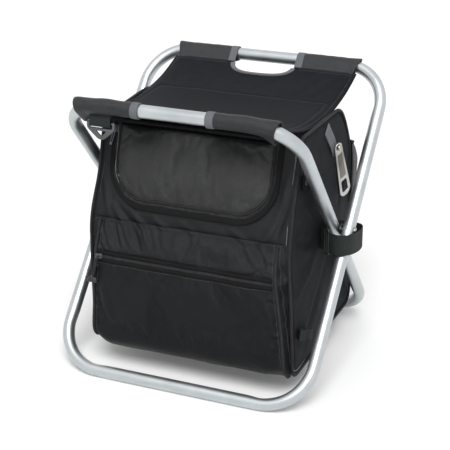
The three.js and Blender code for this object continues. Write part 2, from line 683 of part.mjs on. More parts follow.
function addStraps() {
  const group = new THREE.Group();
  group.name = "side_straps";
  group.position.z = PIVOT_Z - STRAP_DROP;
  root.add(group);
  const near = BAG_HALF + GAP + WEB_T / 2;
  const [far, y, c] = [STRAP_X - WEB_T / 2, STRAP_REACH, STRAP_CORNER];
  const start = [near + 2, -STRAP_ROOT - 4.5];
  const knee = [OUTER_HALF - STRAP_KNEE, -y];
  const line = [
    [near, 10 - STRAP_ROOT], [near, -STRAP_ROOT], start, knee, [far - c, -y], [far, c - y],
    [far, y - c], [far - c, y], [near + c / 3, y], [near, y - c / 3], [near, y - STRAP_TAIL],
  ];
  const slant = Math.atan2(knee[1] - start[1], knee[0] - start[0]);
  const [slotW, slotH] = [WEB_T + 2 * GAP, 2 * STRAP_HALF_W + 2 * GAP];
  const frame = rectangle(0, 0, slotW + 2 * BUCKLE_WALL, slotH + 2 * BUCKLE_WALL);
  frame.holes.push(new THREE.Path(rectangle(0, 0, slotW, slotH).getPoints()));
  for (const [word, side] of SIDES) {
    const shape = strip(line.map(([px, py]) => [side * px, py]), WEB_T / 2, -WEB_T / 2);
    solid(group, `side_strap_${word}`, plate(shape, -STRAP_HALF_W, STRAP_HALF_W), WEBBING);
    const buckle = plate(frame, -BUCKLE_L / 2, BUCKLE_L / 2);
    const turn = new THREE.Matrix4().makeBasis(vec(0, 1, 0), Z_AXIS, X_AXIS);
    buckle.applyMatrix4(turn).rotateZ(side * slant);
    buckle.translate((side * (start[0] + knee[0])) / 2, (start[1] + knee[1]) / 2, 0);
    solid(group, `strap_buckle_${word}`, buckle, PLASTIC);
  }
}

function addDRing() {
  const group = facing("d_ring_hanger", vec(D_X, -BAR_Y, D_AXIS_Z), Z_AXIS, vec(0, -1, 0));
  const bar = D_BAR_H / 2;
  const slotLow = -bar - D_SLOT_H;
  const rail = 3.5;
  const ring = polygon([
    [-D_HALF, slotLow], [-5, -D_DROP + 1.5], [0, -D_DROP], [5, -D_DROP + 1.5], [D_HALF, slotLow],
    [D_HALF, bar - 1.5], [D_HALF - 1.5, bar], [1.5 - D_HALF, bar], [-D_HALF, bar - 1.5],
  ]);
  const slot = rectangle(0, -bar - D_SLOT_H / 2, 2 * D_SLOT_HALF, D_SLOT_H);
  const eye = polygon([[-10, slotLow - rail], [0, -D_DROP + 4.5], [10, slotLow - rail]]);
  const holes = [slot, eye].map((hole) => plate(hole, -D_T, D_T));
  solid(group, "d_ring", cut(plate(ring, -D_T / 2, D_T / 2), holes), PLASTIC);

  const top = BAR_Z - SLEEVE_OUT - GAP - LOOP_SINK - D_AXIS_Z;
  const [room, wall] = [LOOP_ROOM, LOOP_ROOM + WEB_T];
  const low = D_SAG - wall;
  const section = polygon([
    [-wall, low], [wall, low], [wall, room + 1], [3, top], [-3, top], [-wall, room + 1],
  ]);
  section.holes.push(new THREE.Path(rectangle(0, D_SAG, 2 * room, 2 * room).getPoints()));
  const turn = new THREE.Matrix4().makeBasis(Z_AXIS, vec(0, 1, 0), vec(-1, 0, 0));
  solid(group, "d_ring_webbing", plate(section, -WEB_HALF, WEB_HALF).applyMatrix4(turn), WEBBING);
}

addLoop("front", INNER_HALF, Math.PI / 2 + SPREAD);
addLoop("rear", OUTER_HALF, Math.PI / 2 - SPREAD);
addPivots();
addSeat();
addBagBody();
addFrontPanel();
addFrontPocket();
addRearPocket();
addSides();
addStraps();
addDRing();

export default root;
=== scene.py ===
"""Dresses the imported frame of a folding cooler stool.

Sizes are in millimetres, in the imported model's frame, until a mesh is made in metres.
"""
import logging
import math
from dataclasses import dataclass, field
from enum import Enum
from itertools import product
from typing import Sequence

import bmesh
import bpy
import numpy as np
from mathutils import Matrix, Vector
from mathutils.bvhtree import BVHTree
from mathutils.geometry import convex_hull_2d


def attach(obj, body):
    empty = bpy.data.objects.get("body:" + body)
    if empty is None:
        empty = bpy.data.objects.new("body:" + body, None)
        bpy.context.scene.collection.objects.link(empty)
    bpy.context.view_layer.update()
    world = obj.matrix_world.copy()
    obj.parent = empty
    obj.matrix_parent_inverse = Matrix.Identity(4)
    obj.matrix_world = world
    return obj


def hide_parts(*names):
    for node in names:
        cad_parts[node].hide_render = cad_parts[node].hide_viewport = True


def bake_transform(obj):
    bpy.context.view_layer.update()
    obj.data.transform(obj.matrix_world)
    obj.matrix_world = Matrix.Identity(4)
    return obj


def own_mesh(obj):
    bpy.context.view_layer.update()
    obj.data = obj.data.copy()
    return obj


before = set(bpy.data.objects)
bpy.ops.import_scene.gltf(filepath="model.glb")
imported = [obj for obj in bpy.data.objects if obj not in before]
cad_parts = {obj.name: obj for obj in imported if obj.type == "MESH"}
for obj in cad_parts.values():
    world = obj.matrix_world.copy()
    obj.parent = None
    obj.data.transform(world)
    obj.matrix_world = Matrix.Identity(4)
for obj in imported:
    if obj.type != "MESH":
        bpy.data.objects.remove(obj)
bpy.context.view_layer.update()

LOG = logging.getLogger("stool")
MM = 0.001
Array = np.ndarray
Piece = bpy.types.Object
Material = bpy.types.Material
Rgb = tuple[int, int, int]
Pair = tuple[float, float]
Triple = tuple[float, float, float]
SIDES = (("left", -1), ("right", 1))
RIGHT, FRONTWARD, UP = (1.0, 0.0, 0.0), (0.0, -1.0, 0.0), (0.0, 0.0, 1.0)


def ease(low: float, high: float, value: Array | float) -> Array:
    """A smooth step from 0 at low to 1 at high."""
    t = np.clip((np.asarray(value, float) - low) / (high - low), 0, 1)
    return t * t * (3 - 2 * t)


def unit(vectors: Array) -> Array:
    """Vectors scaled to a length of 1."""
    v = np.asarray(vectors, float)
    return v / np.maximum(np.linalg.norm(v, axis=-1, keepdims=True), 1e-12)


def coords(*parts: Array | float) -> Array:
    """Points from their coordinates, side by side on a new last axis."""
    return np.stack(np.broadcast_arrays(*parts), axis=-1)


def arc(x: float, y: float, radius: float, angles: Array) -> Array:
    """Points on a circle in a plane."""
    return np.array([x, y]) + radius * coords(np.cos(angles), np.sin(angles))


def out_of(line: Array) -> Array:
    """The directions out of a closed, anticlockwise line in a plane."""
    ahead = unit(np.roll(line, -1, 0) - np.roll(line, 1, 0))
    return coords(ahead[:, 1], -ahead[:, 0])


def cells(values: Array) -> Array:
    """The values at the four corners of each cell of a grid."""
    return np.stack([values[:-1, :-1], values[1:, :-1], values[1:, 1:], values[:-1, 1:]], axis=2)


def travel(points: Array) -> Array:
    """The distance along a line at each of its points."""
    return np.concatenate([[0.0], np.cumsum(np.linalg.norm(np.diff(points, axis=0), axis=1))])


def resample(points: Array, count: int, closed: bool = False) -> Array:
    """Sets points at even steps along a line.

    Args:
        points: The line's points, in any dimension.
        count: How many points to give.
        closed: Whether the line's end joins its start.

    Returns:
        The even points; a closed line's start isn't repeated.
    """
    line = np.vstack([points, points[:1]]) if closed else np.asarray(points, float)
    at = travel(line)
    want = np.linspace(0, at[-1], count + 1)[:-1] if closed else np.linspace(0, at[-1], count)
    return np.stack([np.interp(want, at, line[:, k]) for k in range(line.shape[1])], axis=1)


def rounded(corners: Sequence[Sequence[float]], radii: Sequence[float], steps: int = 12) -> Array:
    """Eases each corner of a closed outline.

    Args:
        corners: The outline's corners.
        radii: How far each corner is cut back along its two sides.
        steps: Points round one corner.

    Returns:
        The outline's points.
    """
    points = np.asarray(corners, float)
    made = []
    for i, (p, r) in enumerate(zip(points, radii)):
        a = p + unit(points[i - 1] - p) * r
        b = p + unit(points[(i + 1) % len(points)] - p) * r
        for t in np.linspace(0, 1, steps):
            made.append((1 - t) ** 2 * a + 2 * t * (1 - t) * p + t * t * b)
    return np.array(made)


def box(x0: float, y0: float, x1: float, y1: float, radius: float, steps: int) -> Array:
    """A rectangle's outline with eased corners, from two of its opposite corners."""
    return rounded([(x0, y0), (x1, y0), (x1, y1), (x0, y1)], [radius] * 4, steps)


def cut_back(points: Array, passes: int = 3) -> Array:
    """Cuts a line's corners back.

    Args:
        points: The line's points in a plane.
        passes: How many times to cut.

    Returns:
        The smoother line, with the same ends.
    """
    for _ in range(passes):
        a, b = points[:-1] * 0.75 + points[1:] * 0.25, points[:-1] * 0.25 + points[1:] * 0.75
        points = np.concatenate([points[:1], np.stack([a, b], axis=1).reshape(-1, 2), points[-1:]])
    return points


class Ripples:
    """A fixed field of soft, even undulations over a panel."""

    def __init__(self, seed: int, wavelength: float, count: int = 9) -> None:
        """Draws the waves' directions and phases from a fixed seed."""
        rng = np.random.default_rng(seed)
        angle = rng.uniform(0, 2 * np.pi, count)
        number = 2 * np.pi / (wavelength * rng.uniform(0.6, 1.7, count))
        self.waves = coords(np.cos(angle) * number, np.sin(angle) * number)
        self.phase = rng.uniform(0, 2 * np.pi, count)

    def __call__(self, a: Array, b: Array) -> Array:
        """The field's height at panel coordinates, about -1 to 1."""
        place = coords(a, b) @ self.waves.T
        return np.sin(place + self.phase).sum(-1) / math.sqrt(len(self.phase) * 2)


def folded(folds: Sequence[Sequence[float]], a: Array, b: Array) -> Array:
    """Gives the height of soft folds along straight lines in a panel's own plane.

    Args:
        folds: Each fold's two ends, width and height.
        a: First coordinates.
        b: Second coordinates.

    Returns:
        Heights, with a ridge on each line and a shallow dip on both sides of it.
    """
    total = 0.0
    for a0, b0, a1, b1, width, height in folds:
        along = np.array([a1 - a0, b1 - b0])
        length = np.linalg.norm(along)
        da, db = a - a0, b - b0
        t = (da * along[0] + db * along[1]) / length**2
        off = (da * along[1] - db * along[0]) / length / width
        taper = np.sin(np.pi * np.clip(t, 0, 1)) ** 0.7
        total = total + height * taper * (1 - 1.2 * off**2) * np.exp(-(off**2))
    return total


class Sock:
    """A node's value, with operators that add Math nodes."""

    def __init__(self, kit: "NodeKit", socket: bpy.types.NodeSocket) -> None:
        """Keeps the socket and the tree that it is in."""
        self.kit, self.socket = kit, socket

    def math(self, operation: str, *others: "Sock | float") -> "Sock":
        """A Math node on this value and others."""
        return self.kit.node("ShaderNodeMath", {"operation": operation}, dict(enumerate((self, *others))))

    def __add__(self, other: "Sock | float") -> "Sock":
        """The sum."""
        return self.math("ADD", other)

    def __sub__(self, other: "Sock | float") -> "Sock":
        """The difference."""
        return self.math("SUBTRACT", other)

    def __rsub__(self, other: float) -> "Sock":
        """The difference from a number."""
        return self * -1 + other

    def __mul__(self, other: "Sock | float") -> "Sock":
        """The product."""
        return self.math("MULTIPLY", other)

    __radd__, __rmul__ = __add__, __mul__

    def sine(self) -> "Sock":
        """Its sine, in radians."""
        return self.math("SINE")

    def clamp(self) -> "Sock":
        """The value held between 0 and 1."""
        return self.math("MINIMUM", 1.0).math("MAXIMUM", 0.0)


class NodeKit:
    """Adds nodes to one tree."""

    def __init__(self, tree: bpy.types.NodeTree) -> None:
        """Keeps the tree."""
        self.tree = tree

    def node(self, kind: str, settings: dict | None = None, inputs: dict | None = None,
             output: int | str = 0) -> Sock:
        """Adds a node.

        Args:
            kind: The node's type name.
            settings: Its properties.
            inputs: Values or links of its sockets, by name or number.
            output: The socket to give.

        Returns:
            The wrapped output.
        """
        made = self.tree.nodes.new(kind)
        for key, value in (settings or {}).items():
            setattr(made, key, value)
        for key, value in (inputs or {}).items():
            if isinstance(value, Sock):
                self.tree.links.new(value.socket, made.inputs[key])
            else:
                made.inputs[key].default_value = value
        return Sock(self, made.outputs[output]) if len(made.outputs) else Sock(self, None)


def linear(colour: Rgb) -> tuple[float, float, float, float]:
    """A colour from its screen values, 0 to 255, as Blender's linear values."""
    parts = [c / 255 for c in colour]
    return (*(c / 12.92 if c <= 0.04045 else ((c + 0.055) / 1.055) ** 2.4 for c in parts), 1.0)


class Look(NodeKit):
    """A material whose nodes end in one Principled shader."""

    def __init__(self, name: str) -> None:
        """Makes an empty node material."""
        self.material = bpy.data.materials.new(name)
        self.material.use_nodes = True
        super().__init__(self.material.node_tree)
        self.tree.nodes.clear()

    def flat(self) -> tuple[Sock, Sock]:
        """The piece's own flat coordinates, in metres."""
        place = self.node("ShaderNodeTexCoord", output="UV")
        return tuple(self.node("ShaderNodeSeparateXYZ", None, {0: place}, k) for k in (0, 1))

    def noise(self, scale: float, detail: float = 2.0, stretch: Sequence[float] = (1, 1, 1),
              kind: str = "Object") -> Sock:
        """Adds a noise texture.

        Args:
            scale: Features per metre.
            detail: Octaves.
            stretch: Scale of each coordinate.
            kind: The coordinates it reads.

        Returns:
            The noise, 0 to 1.
        """
        place = self.node("ShaderNodeTexCoord", output=kind)
        moved = self.node("ShaderNodeMapping", None, {"Vector": place, "Scale": stretch})
        return self.node("ShaderNodeTexNoise", None, {"Vector": moved, "Scale": scale, "Detail": detail})

    def mix(self, factor: Sock, low: Rgb, high: Rgb) -> Sock:
        """A colour between two, by a factor."""
        ends = {0: factor, 6: linear(low), 7: linear(high)}
        return self.node("ShaderNodeMix", {"data_type": "RGBA"}, ends, 2)

    def bump(self, height: Sock, depth: float, strength: float = 1.0) -> Sock:
        """A normal from a height field whose unit is depth, in metres."""
        return self.node("ShaderNodeBump", None, {"Height": height, "Distance": depth, "Strength": strength})

    def close(self, inputs: dict) -> Material:
        """Adds the Principled shader and the output.

        Args:
            inputs: The shader's values or links, by socket name.

        Returns:
            The finished material.
        """
        shader = self.node("ShaderNodeBsdfPrincipled", None, inputs)
        self.node("ShaderNodeOutputMaterial", None, {"Surface": shader})
        return self.material


@dataclass(frozen=True)
class Finish:
    """A surface finish between two tones, which makes its material once."""

    name: str
    colour: Rgb
    bright: Rgb

    def material(self) -> Material:
        """The finish's material."""
        return bpy.data.materials.get(self.name) or self.paint(Look(self.name))

    def paint(self, look: Look) -> Material:
        """Builds the nodes; each finish has its own."""
        raise NotImplementedError


@dataclass(frozen=True)
class Cloth(Finish):
    """Plain-woven polyester."""

    yarn: float = 0.0009
    rough: float = 0.6
    sheen: float = 0.04
    gloss: float = 0.2

    def paint(self, look: Look) -> Material:
        """Builds a weave with slubs and a slow drift of tone.

        Args:
            look: The material's nodes.

        Returns:
            The finished material.
        """
        u, v = look.flat()
        turn = 2 * math.pi / self.yarn
        weave = (u * turn).sine() * (v * turn).sine()
        slub = look.noise(420, 4)
        drift = look.noise(11, 3)
        blot = look.noise(85, 4)
        tone = (0.36 + weave * 0.14 + (slub - 0.5) * 0.8 + (blot - 0.5) * 0.4 + (drift - 0.5) * 0.5).clamp()
        relief = weave * 0.5 + slub * 1.2 + look.noise(150, 3) * 1.8
        return look.close({
            "Base Color": look.mix(tone, self.colour, self.bright),
            "Roughness": self.rough + (drift - 0.5) * 0.14 + (slub - 0.5) * 0.1,
            "Specular IOR Level": self.gloss,
            "Sheen Weight": self.sheen,
            "Sheen Roughness": 0.4,
            "Normal": look.bump(relief, 0.00018, 0.9),
        })


@dataclass(frozen=True)
class Ribbed(Finish):
    """Tape or webbing with ribs across its length."""

    rib: float = 0.0016
    rough: float = 0.75
    depth: float = 0.00035
    gloss: float = 0.25

    def paint(self, look: Look) -> Material:
        """Builds ribs across the tape and yarns along it.

        Args:
            look: The material's nodes.

        Returns:
            The finished material.
        """
        u, v = look.flat()
        yarns = (v * (2 * math.pi / (self.rib * 0.9))).sine()
        ribs = (u * (2 * math.pi / self.rib) + yarns * 0.9).sine()
        fuzz = look.noise(900, 2)
        tone = (0.5 + ribs * 0.32 + yarns * 0.1 + (fuzz - 0.5) * 0.6 + (look.noise(25) - 0.5) * 0.4).clamp()
        return look.close({
            "Base Color": look.mix(tone, self.colour, self.bright),
            "Roughness": self.rough + (fuzz - 0.5) * 0.15,
            "Specular IOR Level": self.gloss,
            "Normal": look.bump(ribs * 0.5 + yarns * 0.25 + fuzz * 0.4, self.depth, 0.8),
        })


@dataclass(frozen=True)
class Metal(Finish):
    """Drawn, cast or pressed metal."""

    rough: float = 0.3
    drawn: float = 1.0
    metallic: float = 1.0
    scale: float = 900.0

    def paint(self, look: Look) -> Material:
        """Builds a fine grain, handling marks and a slow drift of tone.

        Args:
            look: The material's nodes.

        Returns:
            The finished material.
        """
        grain = look.noise(self.scale, 3, (1 / self.drawn, 1, 1), "UV")
        drift = look.noise(30, 3)
        scuff = ((look.noise(210, 5) - 0.6) * (1 / 0.12)).clamp()
        tone = (0.55 + (grain - 0.5) * 0.5 + (drift - 0.5) * 0.7 - scuff * 0.1).clamp()
        return look.close({
            "Base Color": look.mix(tone, self.colour, self.bright),
            "Metallic": self.metallic,
            "Roughness": self.rough + (grain - 0.5) * 0.12 + scuff * 0.06 + (drift - 0.5) * 0.1,
            "Normal": look.bump(grain + drift * 0.6, 0.00006, 0.5),
        })


@dataclass(frozen=True)
class Moulded(Finish):
    """Moulded plastic or coated trim."""

    rough: float = 0.45
    grain: float = 0.00005

    def paint(self, look: Look) -> Material:
        """Builds a fine moulded texture with rubbed spots.

        Args:
            look: The material's nodes.

        Returns:
            The finished material.
        """
        fine = look.noise(2600, 2)
        rubbed = look.noise(120, 4)
        tone = (0.25 + (rubbed - 0.5) * 1.2 + (fine - 0.5) * 0.5).clamp()
        return look.close({
            "Base Color": look.mix(tone, self.colour, self.bright),
            "Roughness": self.rough + (rubbed - 0.5) * 0.25,
            "Normal": look.bump(fine + rubbed, self.grain, 0.6),
        })


@dataclass(frozen=True)
class Film(Finish):
    """A crinkled, heat-reflecting lining."""

    def paint(self, look: Look) -> Material:
        """Builds a crinkled film.

        Args:
            look: The material's nodes.

        Returns:
            The finished material.
        """
        crinkle = look.noise(85, 5)
        return look.close({
            "Base Color": look.mix((crinkle * 1.4 - 0.2).clamp(), self.colour, self.bright),
            "Metallic": 0.7,
            "Roughness": 0.3 + crinkle * 0.2,
            "Normal": look.bump(crinkle, 0.0016, 0.7),
        })


SEAT_CLOTH = Cloth("charcoal_seat_cloth", (14, 16, 18), (43, 46, 50), 0.0010, 0.62, 0.01, 0.05)
# The sleeves use the seat's cloth painted lighter. This is painted light on their tops, which face the light;
# the sleeves are also glossier.
PAINTED_LIT_SLEEVE_CLOTH = Cloth("charcoal_sleeve_cloth_painted_light", (18, 19, 20), (52, 54, 57), 0.0010, 0.42, 0.01, 0.34)
BAG_CLOTH = Cloth("black_bag_cloth", (9, 10, 11), (37, 39, 42), 0.0008, 0.38, 0.01, 0.22)
# The pocket below its zip uses the bag's black cloth painted darker. This is painted shade on the upright
# lower part, which gets less light.
PAINTED_SHADE_POCKET_CLOTH = Cloth("black_pocket_cloth_painted_shade", (6, 7, 8), (26, 28, 31), 0.0008, 0.4, 0.01, 0.16)
SIDE_CLOTH = Cloth("black_side_cloth", (14, 15, 16), (48, 51, 54), 0.0008, 0.6, 0.0, 0.04)
# The flap uses the bag's black cloth painted lighter. This is painted light on its upturned face; the flap is
# also glossier.
PAINTED_LIT_FLAP_CLOTH = Cloth("black_flap_cloth_painted_light", (21, 21, 21), (64, 65, 65), 0.0008, 0.38, 0.01, 0.34)
GREY_TAPE = Ribbed("grey_binding_tape", (72, 74, 77), (134, 137, 141), 0.0015)
STRAP_WEB = Ribbed("black_strap_webbing", (15, 19, 18), (54, 61, 60), 0.0021, 0.72, 0.0004, 0.14)
PIPING = Cloth("black_piping", (22, 22, 23), (66, 67, 69), 0.0007, 0.5, 0.01, 0.08)
THREAD = Cloth("stitching_thread", (60, 60, 62), (122, 122, 125), 0.0006, 0.7, 0.02, 0.08)
# Dark thread laid on seams is painted shade: a dark line for the shadow in a seam's groove.
SEAM_SHADOW_THREAD = Cloth("painted_seam_shadow_thread", (12, 12, 13), (44, 44, 46), 0.0006, 0.7, 0.02, 0.05)
ZIP_TAPE = Ribbed("zip_tape", (8, 8, 9), (34, 34, 35), 0.0012, 0.7, 0.0002, 0.1)
ZIP_COIL = Moulded("zip_coil", (32, 32, 34), (84, 84, 87), 0.4)
LINER = Film("silver_lining", (120, 122, 124), (186, 189, 192))
TUBE_SILVER = Metal("satin_silver_tube", (166, 172, 174), (204, 209, 211), 0.38, 40.0, 0.94, 700)
STEEL = Metal("bright_steel", (128, 126, 122), (196, 194, 188), 0.28, 6.0)
NICKEL = Metal("nickel_opener", (146, 146, 144), (206, 206, 203), 0.36, 10.0)
GUNMETAL = Metal("gunmetal_casting", (60, 62, 64), (116, 118, 121), 0.34)
# The opener's raised face panel is darker than its rim.
OPENER_FACE = Metal("darker_opener_face", (84, 80, 74), (146, 141, 132), 0.42, 6.0)
BRASS = Metal("pale_brass_rivet", (150, 143, 124), (212, 205, 186), 0.3)
PLASTIC = Moulded("black_plastic", (14, 14, 15), (62, 62, 64), 0.4)


@dataclass(frozen=True)
class Skeleton:
    """The frame's main sizes, which the soft pieces follow."""

    tube_r: float = 9.5
    bend_r: float = 68.0
    leg_top: float = 269.0
    leg_bottom: float = 280.0
    lean: float = math.radians(41.4)
    inner_half: float = 175.0
    outer_half: float = 198.0
    pivot_z: float = 219.35
    seat_low: float = 385.0

    @property
    def bar_y(self) -> float:
        """A top bar's distance from the middle."""
        return self.leg_top * math.sin(self.lean)

    @property
    def bar_z(self) -> float:
        """A top bar's height."""
        return self.pivot_z + self.leg_top * math.cos(self.lean)

    def sling(self, y: Array | float) -> Array | float:
        """The sling's height at a distance from the middle."""
        return self.seat_low + (self.bar_z - self.seat_low) * (y / self.bar_y) ** 2

    def turned(self, x: Array | float, toward: int) -> Array:
        """How far round its bend the front bar, -1, or the rear bar, 1, is at a place across, in radians."""
        half = self.inner_half if toward < 0 else self.outer_half
        return np.arcsin(np.clip((np.abs(x) - half + self.bend_r) / self.bend_r, 0, 0.999))

    def drop(self, x: Array | float, toward: int) -> Array:
        """How far a top bar has gone down its leg at a place across."""
        return self.bend_r * (1 - np.cos(self.turned(x, toward)))


BONES = Skeleton()


class Follow(Enum):
    """How a piece follows the frame as it folds."""

    RIGID = "rides"
    CRUSHED = "rides and flattens with the fold"
    WRAPPED = "rides and closes round the legs"
    SLUNG = "bends between the two loops"


# The kinds of piece that get a mesh of their own, with the share of its depth that each would keep when
# flattened; the shares are not read.
FLATTENED = {Follow.CRUSHED: 0.14, Follow.WRAPPED: 0.42}


def settle(piece: Piece, slot: str, *nodes: str, body: str = "front_frame",
           follow: Follow = Follow.CRUSHED) -> None:
    """Puts a finished piece on its body.

    Args:
        piece: The piece, at the origin, with its final mesh.
        slot: A material slot's name; not used.
        nodes: The solids that it stands for.
        body: The body that it rides on.
        follow: How it moves as the frame folds.
    """
    if follow is Follow.SLUNG:
        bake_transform(piece)
    else:
        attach(piece, body)
    if follow in FLATTENED:
        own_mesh(piece)
    if nodes:
        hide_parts(*nodes)
    LOG.info("%s %s on %s, %d faces", piece.name, follow.value, body, len(piece.data.polygons))


def shown(name: str, data: bpy.types.ID) -> Piece:
    """A new object in the scene."""
    made = bpy.data.objects.new(name, data)
    bpy.context.scene.collection.objects.link(made)
    return made


def points_of(mesh: bpy.types.Mesh) -> Array:
    """A mesh's points, in metres."""
    co = np.zeros(len(mesh.vertices) * 3)
    mesh.vertices.foreach_get("co", co)
    return co.reshape(-1, 3)


def move_points(mesh: bpy.types.Mesh, points: Array) -> None:
    """Sets a mesh's points, in metres."""
    mesh.vertices.foreach_set("co", points.ravel())
    mesh.update()


class MeshBuild:
    """Collects patches in millimetres and makes one mesh in metres."""

    def __init__(self) -> None:
        """Starts empty."""
        self.points: list[Array] = []
        self.faces: list[list[int]] = []
        self.flats: list[list[Pair]] = []
        self.slots: list[int] = []
        self.count = 0

    def _add(self, points: Array) -> int:
        """Adds points and gives the first one's number."""
        self.points.append(np.asarray(points, float).reshape(-1, 3))
        self.count += len(self.points[-1])
        return self.count - len(self.points[-1])

    def grid(self, points: Array, wrap: tuple[bool, bool] = (False, False), slot: int = 0,
             flat: Array | None = None, keep: Array | None = None) -> Array:
        """Adds a sheet of rows and columns.

        Args:
            points: Points by row and column.
            wrap: Whether rows and columns join end to end.
            slot: The material's number.
            flat: Flat coordinates by row and column, or None for distances along the sheet.
            keep: Which faces to make, by row and column, or None for all.

        Returns:
            The points' numbers by row and column.
        """
        rows, cols = points.shape[:2]
        number = self._add(points) + np.arange(rows * cols).reshape(rows, cols)
        spread, at = points, number
        for axis in (0, 1):
            if wrap[axis]:
                spread, at = (np.concatenate([k, k.take([0], axis)], axis) for k in (spread, at))
        if flat is None:
            runs = [np.linalg.norm(np.diff(spread, axis=k), axis=2).mean(1 - k) for k in (0, 1)]
            u, v = (np.concatenate([[0], np.cumsum(run)]) for run in runs)
            flat = coords(u[:, None], v)
        quads, flats = cells(at).reshape(-1, 4), (cells(flat) * MM).reshape(-1, 4, 2)
        chosen = np.ones(len(quads), bool) if keep is None else np.asarray(keep).reshape(-1)
        self.faces += quads[chosen].tolist()
        self.flats += flats[chosen].tolist()
        self.slots += [slot] * int(chosen.sum())
        return number

    def fan(self, ring: Array, tip: Sequence[float], slot: int = 0) -> None:
        """Closes a ring with triangles to a tip.

        Args:
            ring: The ring's point numbers.
            tip: The tip's place.
            slot: The material's number.
        """
        centre = self._add(np.array([tip]))
        every = np.concatenate(self.points) * MM
        for a, b in zip(ring, np.roll(ring, -1)):
            self.faces.append([int(a), int(b), centre])
            self.flats.append([tuple(every[k][[0, 2]]) for k in (a, b, centre)])
            self.slots.append(slot)

    def sweep(self, path: Array, section: Array, up: Array, closed: bool = False) -> None:
        """Carries a closed section along a path.

        Args:
            path: The path's points.
            section: The section's points, across and up.
            up: The up direction, one for all or one for each point.
            closed: Whether the path joins its own start.
        """
        path = np.asarray(path, float)
        ahead = np.roll(path, -1, 0) - np.roll(path, 1, 0) if closed else np.gradient(path, axis=0)
        ahead = unit(ahead)
        across = unit(np.cross(ahead, np.broadcast_to(np.asarray(up, float), path.shape)))
        up = np.cross(across, ahead)
        turned = section[None, :, :1] * across[:, None] + section[None, :, 1:] * up[:, None]
        number = self.grid(path[:, None] + turned, (closed, True))
        if not closed:
            self.fan(number[0], path[0])
            self.fan(number[-1][::-1], path[-1])

    def make(self, name: str, *finishes: Finish, weld: float = 0.02, sharp: float = 50.0,
             outward: bool = True) -> Piece:
        """Makes the object.

        Args:
            name: The piece's name.
            finishes: Its finishes, in slot order.
            weld: Points nearer than this join.
            sharp: Edges sharper than this, in degrees, stay sharp.
            outward: Whether to turn every face outwards.

        Returns:
            The object, at the origin.
        """
        mesh = bpy.data.meshes.new(name)
        mesh.from_pydata((np.concatenate(self.points) * MM).tolist(), [], self.faces)
        layer = mesh.uv_layers.new(name="UVMap")
        layer.data.foreach_set("uv", np.array([c for f in self.flats for p in f for c in p], np.float32))
        for finish in finishes:
            mesh.materials.append(finish.material())
        mesh.polygons.foreach_set("material_index", self.slots)
        work = bmesh.new()
        work.from_mesh(mesh)
        if weld:
            bmesh.ops.remove_doubles(work, verts=work.verts, dist=weld * MM)
        loose = [v for v in work.verts if not v.link_faces]
        bmesh.ops.delete(work, geom=loose, context="VERTS")
        if outward:
            bmesh.ops.recalc_face_normals(work, faces=work.faces)
        work.to_mesh(mesh)
        work.free()
        mesh.shade_smooth()
        mesh.set_sharp_from_angle(angle=math.radians(sharp))
        return shown(name, mesh)


def patch(name: str, points: Array, *finishes: Finish, wrap: tuple[bool, bool] = (False, False),
          flat: Array | None = None, **how: float | bool) -> Piece:
    """Makes a piece of one sheet of rows and columns.

    Args:
        name: The piece's name.
        points: Points by row and column.
        finishes: Its finishes, in slot order.
        wrap: Whether rows and columns join end to end.
        flat: Flat coordinates by row and column, or None for distances along the sheet.
        how: The other choices of MeshBuild.make.

    Returns:
        The piece.
    """
    build = MeshBuild()
    build.grid(points, wrap, flat=flat)
    return build.make(name, *finishes, **how)


def strand(name: str, finish: Finish, path: Array, section: Array, up: Sequence[float],
           closed: bool = False) -> Piece:
    """Makes a piece of one section carried along a path.

    Args:
        name: The piece's name.
        finish: Its finish.
        path: The path's points.
        section: The section's points, across and up.
        up: The up direction.
        closed: Whether the path joins its own start.

    Returns:
        The piece.
    """
    build = MeshBuild()
    build.sweep(path, section, up, closed)
    return build.make(name, finish)


def round_section(radius: float, sides: int = 12) -> Array:
    """A round section's points."""
    return arc(0, 0, radius, np.linspace(0, 2 * np.pi, sides, endpoint=False))


def flat_section(width: float, thickness: float) -> Array:
    """Draws a strip's section with eased edges.

    Args:
        width: Its width.
        thickness: Its thickness.

    Returns:
        Points across and up, with enough along both faces for the strip to bend.
    """
    a, b = width / 2, thickness / 2
    eased = min(a, b) * 0.9
    outline = box(-a, -b, a, b, eased, 5)
    low = coords(np.linspace(-a + eased, a - eased, 9)[1:-1], -b)
    return np.concatenate([outline[:5], low, outline[5:15], -low, outline[15:]])


def thicken(piece: Piece, thickness: float, inner: int = 0, offset: float = -1.0) -> None:
    """Gives a sheet a thickness, with its own finish on the inner side."""
    solid = piece.modifiers.new("thickness", "SOLIDIFY")
    solid.thickness, solid.offset = thickness * MM, offset
    solid.use_even_offset, solid.material_offset, solid.material_offset_rim = False, inner, 0


def soften(piece: Piece) -> None:
    """Adds a subdivision surface."""
    smooth = piece.modifiers.new("softness", "SUBSURF")
    smooth.levels = smooth.render_levels = 1


def evaluated(piece: Piece) -> bpy.types.Mesh:
    """A new plain mesh of a piece as it is shown."""
    bpy.context.view_layer.update()
    graph = bpy.context.evaluated_depsgraph_get()
    return bpy.data.meshes.new_from_object(piece.evaluated_get(graph))


def freeze(piece: Piece) -> None:
    """Turns a piece with modifiers into a plain mesh."""
    plain = evaluated(piece)
    piece.modifiers.clear()
    piece.data = plain


def turn_faces(piece: Piece, toward: int) -> None:
    """Turns a sheet's faces to the front, -1, or to the back, 1."""
    total = sum((p.normal * p.area for p in piece.data.polygons), Vector())
    if total.y * toward < 0:
        piece.data.flip_normals()


